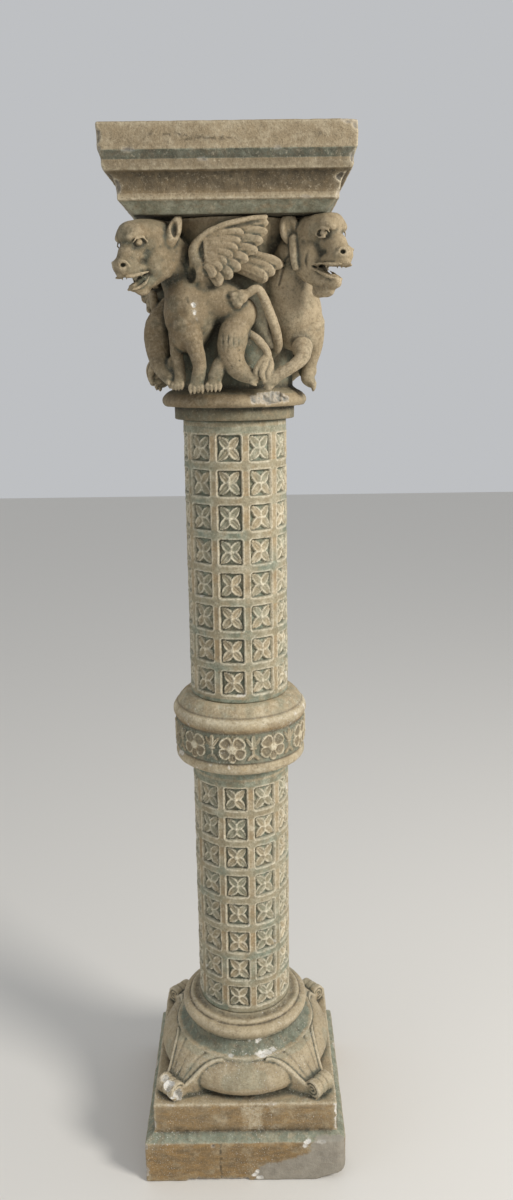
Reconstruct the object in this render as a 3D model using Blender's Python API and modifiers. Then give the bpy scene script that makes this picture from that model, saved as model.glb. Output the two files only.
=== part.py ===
"""A stucco column: plinth and base, two coffered drums with a ring between them, beast capital and abacus.

Metres, +Z up. The column stands on z = 0 and its front is towards -Y.
"""

import math

import bmesh
import bpy
import numpy as np
import openvdb
from mathutils import Matrix

COLUMN_H = 1.5407  # the whole column; the coffers' rows take up what the other castings leave of it

# Shaft
SHAFT_R = 0.075
JOINT = 0.0003  # clearance left at each joint between two castings
COLUMNS = 10
ROWS = 8
RIB_H = 0.0123  # lattice between two rows of coffers
COFFER_W = 0.0350
COFFER_DEPTH = 0.0065
PETAL_DROP = 0.0012  # how far the petals' meeting point lies under the lattice
LATTICE_TURN = math.radians(-96.0)  # where the first column of coffers faces
LOWER_HEAD = 0.0244  # plain band over the lower drum's coffers
LOWER_FOOT = 0.0107
UPPER_HEAD = 0.0194
UPPER_FOOT = 0.0124

# Plinth and base; the OUT values are projections past the shaft
LOWER_STEP_H = 0.0705
LOWER_STEP_HALF = 0.1580
CHAMFER_H = 0.0110
UPPER_STEP_H = 0.0495
UPPER_STEP_HALF = 0.1440
BIG_TORUS_H = 0.0530
BIG_TORUS_OUT = 0.0650
BIG_TORUS_CROWN_H = 0.0210  # height of its widest line over the plinth
FILLET_H = 0.0050
FILLET_OUT = 0.0390
SCOTIA_H = 0.0210
SCOTIA_OUT = 0.0190
COLLAR_H = 0.0040
COLLAR_OUT = 0.0240
SMALL_TORUS_H = 0.0190
SMALL_TORUS_OUT = 0.0290
FOOT_CURVE_H = 0.0095
FOOT_CURVE_OUT = 0.0040
CLAW_LIFT = 0.0045
CLAW_ROOT_HALF = 0.0580
SCROLL_R = 0.0150
SCROLL_W = 0.0340
SCROLL_INSET = 0.0360  # from the upper step's corner in to the scroll's axis

# Ring
RING_HEAD_OUT = 0.0080
RING_SLOPE_H = 0.0160
RING_GROOVE_OUT = 0.0230
RING_ROLL_H = 0.0230
RING_ROLL_OUT = 0.0285
FRIEZE_H = 0.0480
FRIEZE_OUT = 0.0235
RING_TORUS_H = 0.0190
RING_TORUS_OUT = 0.0272
RING_FOOT_H = 0.0060
RING_FOOT_OUT = 0.0120
ROSETTES = 10
ROSETTE_R = 0.0195
ROSETTE_RISE = 0.0042
LILY_H = 0.0400
LILY_W = 0.0120
LILY_RISE = 0.0030

# Capital
NECK_H = 0.0185
NECK_OUT = 0.0110
ASTRAGAL_H = 0.0155
ASTRAGAL_OUT = 0.0285
ASTRAGAL_SLOPE_H = 0.0110
CAPITAL_H = 0.2590
BELL_OUT = 0.0090
BELL_TOP_OUT = 0.0370
LOW_NOD = -8.0  # degrees that the front-left beast and its opposite look up
HIGH_NOD = 1.0  # the same for the other two
CLAY_STEP = 3.5  # size of one cell of the beasts' clay, in millimetres
BEAST_FACES = 2640

# Abacus, from its underside up; the IN values are how far each moulding stays behind the top's edge
ABACUS_HALF = 0.1585
ABACUS_SEAT_IN = 0.0375
ABACUS_BAND_H = 0.0145
ABACUS_BAND_IN = 0.0235
ABACUS_FILLET_H = 0.0085
ABACUS_FILLET_IN = 0.0200
ABACUS_CAVETTO_H = 0.0240
ABACUS_CAVETTO_IN = 0.0075
ABACUS_OVOLO_H = 0.0120
ABACUS_OVOLO_IN = 0.0040
ABACUS_CHAMFER_H = 0.0100
ABACUS_FASCIA_H = 0.0320
HEAD_IN = 0.0005  # how far the beasts' heads stay behind the abacus's edge

TURNS = 28
EMBED = 0.004  # how deep a part that is joined on goes into what carries it

PLINTH_H = LOWER_STEP_H + CHAMFER_H + UPPER_STEP_H
BASE_H = PLINTH_H + BIG_TORUS_H + FILLET_H + SCOTIA_H + COLLAR_H + SMALL_TORUS_H + FOOT_CURVE_H
RING_H = RING_FOOT_H + RING_TORUS_H + FRIEZE_H + RING_ROLL_H + RING_SLOPE_H
ABACUS_H = (ABACUS_BAND_H + ABACUS_FILLET_H + ABACUS_CAVETTO_H + ABACUS_OVOLO_H + ABACUS_CHAMFER_H
            + ABACUS_FASCIA_H)
DRUM_BANDS_H = LOWER_HEAD + LOWER_FOOT + UPPER_HEAD + UPPER_FOOT
ROWS_H = COLUMN_H - BASE_H - RING_H - CAPITAL_H - ABACUS_H - DRUM_BANDS_H - 5 * JOINT
ROW_PITCH = (ROWS_H + 2 * RIB_H) / (2 * ROWS)
COFFER_H = ROW_PITCH - RIB_H
LOWER_DRUM_H = LOWER_HEAD + (ROWS - 1) * ROW_PITCH + COFFER_H + LOWER_FOOT
UPPER_DRUM_H = UPPER_HEAD + (ROWS - 1) * ROW_PITCH + COFFER_H + UPPER_FOOT
LOWER_DRUM_Z = BASE_H + JOINT
RING_Z = LOWER_DRUM_Z + LOWER_DRUM_H + JOINT
UPPER_DRUM_Z = RING_Z + RING_H + JOINT
CAPITAL_Z = UPPER_DRUM_Z + UPPER_DRUM_H + JOINT
ABACUS_Z = CAPITAL_Z + CAPITAL_H + JOINT


def clear_scene():
    for old in list(bpy.data.objects):
        bpy.data.objects.remove(old)


def collection(name, shown):
    made = bpy.data.collections.new(name)
    bpy.context.scene.collection.children.link(made)
    made.hide_render = not shown
    return made


def add_mesh(name, points, faces, home):
    mesh = bpy.data.meshes.new(name)
    mesh.from_pydata([tuple(map(float, p)) for p in points], [], [tuple(map(int, f)) for f in faces])
    mesh.update()
    made = bpy.data.objects.new(name, mesh)
    home.objects.link(made)
    return made


def apply_modifiers(target):
    graph = bpy.context.evaluated_depsgraph_get()
    done = bpy.data.meshes.new_from_object(target.evaluated_get(graph))
    target.modifiers.clear()
    target.data = done


def outward(target):
    work = bmesh.new()
    work.from_mesh(target.data)
    bmesh.ops.recalc_face_normals(work, faces=work.faces)
    work.to_mesh(target.data)
    work.free()


def turn(name, profile, home, steps=TURNS, square=False):
    """A closed body turned from (radius, height) points that run from the top down the outer side."""
    line = [(0.0, profile[0][1])] + list(profile) + [(0.0, profile[-1][1])]
    scale = math.sqrt(2) if square else 1.0
    made = add_mesh(name, [(r * scale, 0.0, z) for r, z in line], [], home)
    work = bmesh.new()
    work.from_mesh(made.data)
    work.verts.ensure_lookup_table()
    for a, b in zip(list(work.verts)[:-1], list(work.verts)[1:]):
        work.edges.new((a, b))
    work.to_mesh(made.data)
    work.free()
    screw = made.modifiers.new("Turn", "SCREW")
    screw.axis = "Z"
    screw.steps = screw.render_steps = 4 if square else steps
    screw.use_merge_vertices = True
    screw.merge_threshold = 0.0001
    apply_modifiers(made)
    made.data.transform(Matrix.Rotation(math.pi / 4 if square else math.pi / steps, 4, "Z"))
    outward(made)
    return made


def arc(start, end, bulge, count):
    """Points on a curve from start to end that swells sideways by bulge; the start is left out."""
    (r0, z0), (r1, z1) = start, end
    length = math.hypot(r1 - r0, z1 - z0)
    nr, nz = -(z1 - z0) / length, (r1 - r0) / length
    out = []
    for i in range(1, count + 1):
        t = i / count
        swell = bulge * math.sin(math.pi * t) ** 0.8 if 0 < t < 1 else 0.0
        out.append((r0 + (r1 - r0) * t + nr * swell, z0 + (z1 - z0) * t + nz * swell))
    return out


def join(target, other, name):
    union = target.modifiers.new(name, "BOOLEAN")
    union.operation = "UNION"
    union.solver = "EXACT"
    union.object = other
    apply_modifiers(target)
    bpy.data.objects.remove(other)


def finish(target, colour, roughness):
    material = bpy.data.materials.new(target.name)
    material.use_nodes = True
    shader = material.node_tree.nodes["Principled BSDF"]
    shader.inputs["Base Color"].default_value = (*colour, 1.0)
    shader.inputs["Roughness"].default_value = roughness
    target.data.materials.clear()
    target.data.materials.append(material)


def torus_points(top):
    """The big torus's outer side, from its top edge down to the plinth."""
    centre_r = SHAFT_R + FILLET_OUT - 0.009
    reach = SHAFT_R + BIG_TORUS_OUT - centre_r
    crown = PLINTH_H + BIG_TORUS_CROWN_H
    out = []
    for degrees in (74, 50, 26, 0):
        a = math.radians(degrees)
        rise = (top - crown) * math.sin(a) / math.sin(math.radians(74))
        out.append((centre_r + reach * math.cos(a), crown + rise))
    out.append((centre_r + reach * 0.93, PLINTH_H + BIG_TORUS_CROWN_H * 0.35))
    out.append((centre_r + reach * 0.84, PLINTH_H - EMBED))
    return out


def make_claw(name, home):
    """A leaf that comes down the torus towards the plinth's corner; it lies along +X."""
    top = PLINTH_H + BIG_TORUS_H
    torus_r = SHAFT_R + BIG_TORUS_OUT
    start = SHAFT_R + FILLET_OUT - 0.012
    stop = UPPER_STEP_HALF * math.sqrt(2) - SCROLL_INSET
    stations, across = 7, 5
    points = []
    for i in range(stations):
        t = i / (stations - 1)
        p = start + (stop - start) * t
        half = CLAW_ROOT_HALF + (SCROLL_W / 2 - CLAW_ROOT_HALF) * t**0.75
        row = []
        for j in range(across):
            q = half * (2 * j / (across - 1) - 1)
            r = math.hypot(p, q)
            inner = SHAFT_R + FILLET_OUT
            slope = min(max((r - inner) / (stop - inner), 0.0), 1.0)
            drop = slope * slope * (3 - 2 * slope)
            z = top + CLAW_LIFT + (PLINTH_H + SCROLL_R * 1.1 - top - CLAW_LIFT) * drop
            z -= 0.35 * CLAW_LIFT * (2 * j / (across - 1) - 1) ** 2
            if r < torus_r:
                z = max(z, PLINTH_H + 0.3 * BIG_TORUS_H)
            row.append((p, q, min(z, top + CLAW_LIFT * 0.4)))
        points += row
    points += [(p, q, PLINTH_H - EMBED) for p, q, z in points]
    faces = []
    half_count = stations * across
    for i in range(stations - 1):
        for j in range(across - 1):
            a = i * across + j
            faces.append((a, a + across, a + across + 1, a + 1))
            faces.append(tuple(half_count + k for k in (a + 1, a + across + 1, a + across, a)))
    rim = [i * across for i in range(stations)] + [(stations - 1) * across + j for j in range(1, across)]
    rim += [i * across + across - 1 for i in range(stations - 2, -1, -1)] + list(range(across - 2, 0, -1))
    for a, b in zip(rim, rim[1:] + rim[:1]):
        faces.append((a, b, half_count + b, half_count + a))
    claw = add_mesh(name, points, faces, home)
    outward(claw)
    sides = 12
    ring = []
    for side in (-1, 1):
        for k in range(sides):
            a = 2 * math.pi * (k + 0.5) / sides
            ring.append((stop + SCROLL_R * math.cos(a), side * SCROLL_W / 2 * 1.06,
                         PLINTH_H + SCROLL_R * 0.9 + SCROLL_R * math.sin(a)))
    faces = [tuple(range(sides)), tuple(range(2 * sides - 1, sides - 1, -1))]
    faces += [(k, (k + 1) % sides, sides + (k + 1) % sides, sides + k) for k in range(sides)]
    scroll = add_mesh(name + "_scroll", ring, faces, home)
    outward(scroll)
    join(claw, scroll, "Scroll")
    return claw


def make_base(home, helpers):
    top = PLINTH_H + BIG_TORUS_H
    plinth = turn("plinth_and_base", [
        (UPPER_STEP_HALF, PLINTH_H),
        (UPPER_STEP_HALF, LOWER_STEP_H + CHAMFER_H),
        (LOWER_STEP_HALF, LOWER_STEP_H),
        (LOWER_STEP_HALF, 0.0),
    ], home, square=True)
    fillet_z = top + FILLET_H
    scotia_z = fillet_z + SCOTIA_H
    collar_z = scotia_z + COLLAR_H
    torus_z = collar_z + SMALL_TORUS_H
    profile = [(SHAFT_R, BASE_H)]
    profile += arc((SHAFT_R, BASE_H), (SHAFT_R + COLLAR_OUT, torus_z), -FOOT_CURVE_OUT, 2)
    profile += arc((SHAFT_R + COLLAR_OUT, torus_z), (SHAFT_R + COLLAR_OUT, collar_z),
                   SMALL_TORUS_OUT - COLLAR_OUT, 3)
    profile += [(SHAFT_R + COLLAR_OUT, scotia_z)]
    profile += arc((SHAFT_R + SCOTIA_OUT + 0.002, scotia_z), (SHAFT_R + FILLET_OUT - 0.006, fillet_z),
                   -0.005, 2)
    profile += [(SHAFT_R + FILLET_OUT, fillet_z), (SHAFT_R + FILLET_OUT, top)]
    profile += torus_points(top)
    tori = turn("tori", profile, helpers)
    join(plinth, tori, "Tori")
    for k in range(4):
        claw = make_claw("claw", helpers)
        claw.data.transform(Matrix.Rotation(math.radians(45 + 90 * k), 4, "Z"))
        join(plinth, claw, "Claw")
    finish(plinth, (0.30, 0.25, 0.15), 0.85)


def make_drum(name, foot, height, head, home):
    """A drum whose lattice leaves ROWS by COLUMNS coffers, each with a flower of four petals."""
    half = math.asin(min(COFFER_W / 2 / SHAFT_R, math.sin(0.45 * math.pi / COLUMNS * 2)))
    angles = []
    for k in range(COLUMNS):
        centre = LATTICE_TURN + 2 * math.pi * k / COLUMNS
        angles += [centre - half, centre + half]
    levels = [foot + height]
    for i in range(ROWS):
        top = foot + height - head - i * ROW_PITCH
        levels += [top, top - COFFER_H]
    levels.append(foot)
    count = len(angles)
    points = [(SHAFT_R * math.cos(a), SHAFT_R * math.sin(a), z) for z in levels for a in angles]
    faces = [tuple(range(count)), tuple(range((len(levels) - 1) * count, len(levels) * count))[::-1]]
    for i in range(len(levels) - 1):
        coffers = i % 2 == 1
        for k in range(count):
            after = (k + 1) % count
            a, b = i * count + k, i * count + after
            c, d = b + count, a + count
            if not (coffers and k % 2 == 0):
                faces.append((a, d, c, b))
                continue
            centre = (angles[k] + angles[k + 1]) / 2
            flat = SHAFT_R * math.cos(half)
            normal = np.array((math.cos(centre), math.sin(centre), 0.0))
            side = np.array((-math.sin(centre), math.cos(centre), 0.0))
            middle = normal * flat + np.array((0, 0, (levels[i] + levels[i + 1]) / 2))
            width = SHAFT_R * math.sin(half) * 0.86
            rise = COFFER_H / 2 * 0.86
            up = np.array((0, 0, 1.0))
            first = len(points)
            deep = middle - normal * COFFER_DEPTH
            points += [deep - side * width, deep - up * rise, deep + side * width, deep + up * rise,
                       middle - normal * PETAL_DROP]
            left, low, right, high, boss = range(first, first + 5)
            petals = ((a, high, left), (d, left, low), (c, low, right), (b, right, high))
            for corner, before, behind in petals:
                faces.append((boss, before, corner))
                faces.append((boss, corner, behind))
            for one, two, pit in ((a, d, left), (d, c, low), (c, b, right), (b, a, high)):
                faces.append((one, two, pit))
    drum = add_mesh(name, points, faces, home)
    outward(drum)
    finish(drum, (0.42, 0.38, 0.26), 0.85)


def relief(outline, radius, rise, centre_rise, middle_z, turn_to):
    """Points and faces of a low carving on a round wall, from its (aside, up) outline."""
    points, count = [], len(outline)
    for lift in (rise, -EMBED):
        for s, z in outline:
            a = turn_to + s / radius
            points.append(((radius + lift) * math.cos(a), (radius + lift) * math.sin(a), middle_z + z))
    for lift in (centre_rise, -EMBED):
        points.append(((radius + lift) * math.cos(turn_to), (radius + lift) * math.sin(turn_to), middle_z))
    faces = []
    for k in range(count):
        after = (k + 1) % count
        faces += [(2 * count, k, after), (2 * count + 1, count + after, count + k),
                  (k, count + k, count + after, after)]
    return points, faces


def make_ring(home, helpers):
    z = RING_Z
    frieze_z = z + RING_FOOT_H + RING_TORUS_H
    roll_z = frieze_z + FRIEZE_H
    slope_z = roll_z + RING_ROLL_H
    top = slope_z + RING_SLOPE_H
    profile = [(SHAFT_R + RING_HEAD_OUT, top)]
    profile += arc((SHAFT_R + RING_HEAD_OUT, top), (SHAFT_R + RING_GROOVE_OUT, slope_z), 0.0015, 2)
    profile += arc((SHAFT_R + RING_GROOVE_OUT, slope_z), (SHAFT_R + FRIEZE_OUT, roll_z),
                   RING_ROLL_OUT - FRIEZE_OUT, 3)
    profile += [(SHAFT_R + FRIEZE_OUT, frieze_z)]
    profile += arc((SHAFT_R + FRIEZE_OUT + 0.0008, frieze_z - 0.0004),
                   (SHAFT_R + RING_FOOT_OUT, z + RING_FOOT_H),
                   RING_TORUS_OUT - (FRIEZE_OUT + RING_FOOT_OUT) / 2, 3)
    profile += [(SHAFT_R + RING_FOOT_OUT * 0.4, z)]
    ring = turn("ring", profile, home)
    radius = SHAFT_R + FRIEZE_OUT
    points, faces = [], []
    for k in range(ROSETTES):
        facing = LATTICE_TURN + 2 * math.pi * k / ROSETTES
        flower = []
        for i in range(16):
            a = 2 * math.pi * i / 16
            reach = ROSETTE_R * (1.0 if i % 2 == 0 else 0.74)
            flower.append((reach * math.sin(a), reach * math.cos(a)))
        lily = []
        for s, h in ((0, 0.5), (-0.5, 0.18), (-0.22, 0), (-0.5, -0.3),
                     (0, -0.5), (0.5, -0.3), (0.22, 0), (0.5, 0.18)):
            lily.append((LILY_W * s, LILY_H * h))
        for outline, rise, crown, turn_to in (
            (flower, ROSETTE_RISE * 0.5, ROSETTE_RISE, facing),
            (lily, LILY_RISE * 0.5, LILY_RISE, facing + math.pi / ROSETTES),
        ):
            more, sides = relief(outline, radius, rise, crown, frieze_z + FRIEZE_H / 2, turn_to)
            faces += [tuple(len(points) + i for i in side) for side in sides]
            points += more
    carving = add_mesh("frieze_carving", points, faces, helpers)
    outward(carving)
    join(ring, carving, "Frieze")
    finish(ring, (0.40, 0.34, 0.22), 0.85)


FAR = 12.0  # what the clay's distances start from, in millimetres


class Clay:
    """A block of signed distances, in millimetres, that masses are added to and hollows cut from."""

    def __init__(self, half, low, high, step):
        count = 2 * int(round(half / step)) + 1
        self.step = step
        self.x = ((np.arange(count) - (count - 1) / 2) * step).astype(np.float32)
        self.z = (low + np.arange(int(round((high - low) / step)) + 1) * step).astype(np.float32)
        self.d = np.full((count, count, len(self.z)), FAR, np.float32)

    def block(self, low, high):
        cut = []
        for axis, line in enumerate((self.x, self.x, self.z)):
            first, last = np.searchsorted(line, (low[axis], high[axis]))
            cut.append(slice(max(first - 1, 0), min(last + 1, len(line))))
        grid = (self.x[cut[0]][:, None, None], self.x[cut[1]][None, :, None], self.z[cut[2]][None, None, :])
        return tuple(cut), grid

    def put(self, shape, blend=3.0, hollow=False):
        """Joins a shape on, or cuts it out, with a soft edge of about the width blend."""
        low, high, distance = shape
        margin = blend + 2.5 * self.step
        cut, grid = self.block(np.asarray(low) - margin, np.asarray(high) + margin)
        old = self.d[cut]
        if 0 in old.shape:
            return
        new = distance(*grid)
        if hollow:
            new = -new
            soft = np.maximum(blend - np.abs(old - new), 0.0)
            self.d[cut] = np.maximum(old, new) + soft * soft / (4 * blend)
        else:
            soft = np.maximum(blend - np.abs(old - new), 0.0)
            self.d[cut] = np.minimum(old, new) - soft * soft / (4 * blend)

    def add(self, shape, blend=3.0):
        self.put(shape, blend)

    def cut(self, shape, blend=1.5):
        self.put(shape, blend, True)

    def mesh(self):
        grid = openvdb.FloatGrid()
        grid.background = FAR
        grid.copyFromArray(np.ascontiguousarray(self.d))
        points, triangles, quads = grid.convertToPolygons(isovalue=0.0, adaptivity=0.0)
        points = np.asarray(points, np.float64) * self.step
        points[:, 0] += self.x[0]
        points[:, 1] += self.x[0]
        points[:, 2] += self.z[0]
        return points, np.asarray(quads)


def unit(v):
    v = np.asarray(v, float)
    return v / np.linalg.norm(v)


def ball(centre, radii, along=None, up=None):
    """An ellipsoid: radii along its own length, side and height."""
    centre = np.asarray(centre, float)
    radii = np.asarray(radii, float) * np.ones(3)
    if along is None:
        axes = np.eye(3)
        reach = radii
    else:
        a = unit(along)
        side = unit(np.cross(up if up is not None else (0, 0, 1), a))
        axes = np.array([a, side, np.cross(a, side)])
        reach = np.sqrt(((axes * radii[:, None]) ** 2).sum(0))

    def distance(x, y, z):
        x, y, z = x - centre[0], y - centre[1], z - centre[2]
        near = 0.0
        far = 0.0
        for axis, radius in zip(axes, radii):
            along_it = (x * axis[0] + y * axis[1] + z * axis[2]) / radius
            near = near + along_it * along_it
            far = far + along_it * along_it / (radius * radius)
        near = np.sqrt(near)
        return near * (near - 1) / np.sqrt(far + 1e-9)

    return centre - reach, centre + reach, distance


def smooth_line(points, values, per_span=6):
    """A Catmull-Rom curve through the points, with the values read along it."""
    points = np.column_stack([np.asarray(points, float), np.asarray(values, float)])
    ends = np.vstack([2 * points[0] - points[1], points, 2 * points[-1] - points[-2]])
    out = []
    for i in range(len(points) - 1):
        p0, p1, p2, p3 = ends[i : i + 4]
        for t in np.linspace(0, 1, per_span, endpoint=False):
            out.append(0.5 * (2 * p1 + (p2 - p0) * t + (2 * p0 - 5 * p1 + 4 * p2 - p3) * t**2
                              + (3 * p1 - p0 - 3 * p2 + p3) * t**3))
    out.append(points[-1])
    out = np.array(out)
    return out[:, :3], out[:, 3]


def limb(points, radii, per_span=6):
    """A round limb along a smooth curve."""
    points, radii = smooth_line(points, radii, per_span)
    low = (points - radii[:, None]).min(0)
    high = (points + radii[:, None]).max(0)

    def distance(x, y, z):
        best = None
        for a, b, ra, rb in zip(points[:-1], points[1:], radii[:-1], radii[1:]):
            ab = b - a
            t = ((x - a[0]) * ab[0] + (y - a[1]) * ab[1] + (z - a[2]) * ab[2]) / max(ab @ ab, 1e-6)
            t = np.clip(t, 0, 1)
            gap = np.sqrt((x - a[0] - t * ab[0]) ** 2 + (y - a[1] - t * ab[1]) ** 2
                          + (z - a[2] - t * ab[2]) ** 2) - (ra + (rb - ra) * t)
            best = gap if best is None else np.minimum(best, gap)
        return best

    return low, high, distance


def plume(root, tip, width, thick, face, tilt=0.0, barbs=0.0, bow=0.0):
    """A flat feather with a round tip, crowned along its rib and turned by tilt about its length."""
    root, tip = np.asarray(root, float), np.asarray(tip, float)
    length = np.linalg.norm(tip - root)
    a = (tip - root) / length
    side = unit(np.cross(unit(face), a))
    normal = np.cross(a, side)
    side, normal = (side * math.cos(tilt) + normal * math.sin(tilt),
                    normal * math.cos(tilt) - side * math.sin(tilt))
    reach = width + thick + abs(bow)
    low, high = np.minimum(root, tip) - reach, np.maximum(root, tip) + reach

    def distance(x, y, z):
        x, y, z = x - root[0], y - root[1], z - root[2]
        t = x * a[0] + y * a[1] + z * a[2]
        s = x * side[0] + y * side[1] + z * side[2]
        n = x * normal[0] + y * normal[1] + z * normal[2]
        share = np.clip(t / length, 0, 1)
        s = s - bow * np.sin(math.pi * share)
        tip_round = np.sqrt(np.maximum(1 - (np.maximum(share - 0.7, 0) / 0.3) ** 2, 1e-3))
        half = width * (0.72 + 0.28 * share) * tip_round
        body = thick * (1 - 0.45 * np.clip(np.abs(s) / width, 0, 1) ** 2)
        if barbs:
            body = body + barbs * np.cos((t - 0.9 * np.abs(s)) * 2 * math.pi / 3.4)
            body = body + 0.7 * np.exp(-((s / 0.9) ** 2))
        return np.maximum(np.maximum(np.abs(s) - half, np.maximum(-t, t - length)), np.abs(n) - body)

    return low, high, distance


def turned(profile, low, high):
    """A round body about the upright axis, its radius read from (height, radius) pairs."""
    heights, radii = np.array(profile, float).T
    widest = radii.max()

    def distance(x, y, z):
        return np.maximum(np.sqrt(x * x + y * y) - np.interp(z, heights, radii).astype(np.float32),
                          np.maximum(low - z, z - high))

    return (-widest, -widest, low), (widest, widest, high), distance


# The head stands out along the diagonal of the block, and nods about the nape.
HEAD = np.array((-75.0, -83.0, 0.0))
DIAGONAL = np.array((-math.sqrt(0.5), -math.sqrt(0.5), 0.0))
ASIDE = np.array((math.sqrt(0.5), -math.sqrt(0.5), 0.0))
NAPE = (8.0, 212.0)


def head(clay, nod, round_ears):
    turn = math.radians(nod)
    forward = DIAGONAL * math.cos(turn) + np.array((0, 0, math.sin(turn)))
    up = np.cross(forward, ASIDE)
    nape = HEAD + DIAGONAL * NAPE[0] + np.array((0, 0, NAPE[1]))

    def at(f, s, h):
        return nape + forward * (f - NAPE[0]) + ASIDE * s + up * (h - NAPE[1])

    def lump(f, s, h, radii, blend=4.0, lift=0.0):
        clay.add(ball(at(f, s, h), radii, forward + up * lift, up), blend)

    def both(f, s, h, radii, blend=3.0, lift=0.0):
        lump(f, s, h, radii, blend, lift)
        lump(f, -s, h, radii, blend, lift)

    def slot(points, radii, blend=1.2):
        clay.cut(limb([at(*p) for p in points], radii), blend)

    def cord(points, radii, blend=1.2):
        clay.add(limb([at(*p) for p in points], radii), blend)

    lump(24, 0, 226, (32, 23, 33), 8)                     # skull
    lump(48, 0, 240, (30, 21, 21), 8)
    both(32, 11, 205, (23, 12, 19), 7)                    # cheeks
    lump(66, 0, 244, (16, 19, 15), 5, -0.3)               # forehead
    lump(68, 0, 221, (20, 13.5, 14), 6)                   # bridge of the nose
    lump(79, 0, 209, (17, 14.5, 12.5), 5, -0.15)          # muzzle
    lump(72, 0, 201, (23, 15.5, 9.5), 5, -0.12)           # upper lip
    both(90, 5, 208, (6, 6.5, 7), 4)                      # nose
    rise = 0 if round_ears else 7
    cord([(30, 0, 192 + rise), (48, 0, 181 + rise), (64, 0, 174 + rise), (73, 0, 174 + rise)],
         [16, 12, 9 - rise / 5, 7.5 - rise / 5], 5)
    both(69, 11, 244, (13, 8, 6.5), 3, -0.5)              # brows
    if round_ears:                                        # beard, in two lobes
        lump(56, 0, 165, (13, 8, 8), 3)
        lump(44, 0, 166, (10, 7, 9), 4)
    else:
        lump(58, 0, 175, (10, 7, 6), 4)
    for side in (-1, 1):                                  # ears
        if round_ears:
            flat = forward - ASIDE * side
            clay.add(ball(at(14, 23 * side, 244), (12.5, 5.5, 19), flat, up), 2.0)
            clay.cut(ball(at(18, 27.5 * side, 244), (7.5, 4.5, 13.5), flat, up), 1.5)
            cord([(21, 22 * side, 230), (23, 24.5 * side, 212), (25, 23.5 * side, 196)], [6, 5.5, 4.5], 2)
        else:
            cord([(19, 18 * side, 232), (12, 24 * side, 245), (4, 28 * side, 262)], [10, 9, 3], 2.5)
            clay.cut(ball(at(18, 29 * side, 246), (4.5, 4.5, 12), forward, up), 2)
    # the mouth, open to the front and both sides and wider towards its front
    corner = 48 if round_ears else 57
    for k in range(6):
        t = k / 5
        f, h, r = corner + (90 - corner) * t, 195 - 8.5 * t**0.8, 1.8 + 5.6 * t
        slot([(f, -32, h), (f, 0, h), (f, 32, h)], [r, r, r])
def paw(clay, wrist, toward, across, size):
    """A foot of four toes with claws."""
    wrist, toward, across = np.asarray(wrist, float), unit(toward), unit(across)
    clay.add(ball(wrist + toward * size * 0.5, (size * 1.15, size * 1.05, size * 0.8), toward,
                  np.cross(toward, across)), 3)
    down = np.cross(across, toward)
    if np.dot(down, (-wrist[0], -wrist[1], -60.0)) < 0:
        down = -down
    for k in (-1.1, -0.37, 0.37, 1.1):
        start = wrist + toward * size * 0.5 + across * size * 0.55 * k
        knuckle = wrist + toward * size * (1.5 - 0.12 * abs(k)) + across * size * 0.78 * k
        tip = knuckle + toward * size * 0.42 + down * size * 0.5
        clay.add(limb([start, knuckle, tip], [size * 0.38, size * 0.42, size * 0.22], 2), 3)
def locks(clay, paths, radii):
    for path in paths:
        clay.add(limb(path, radii), 3)


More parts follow.
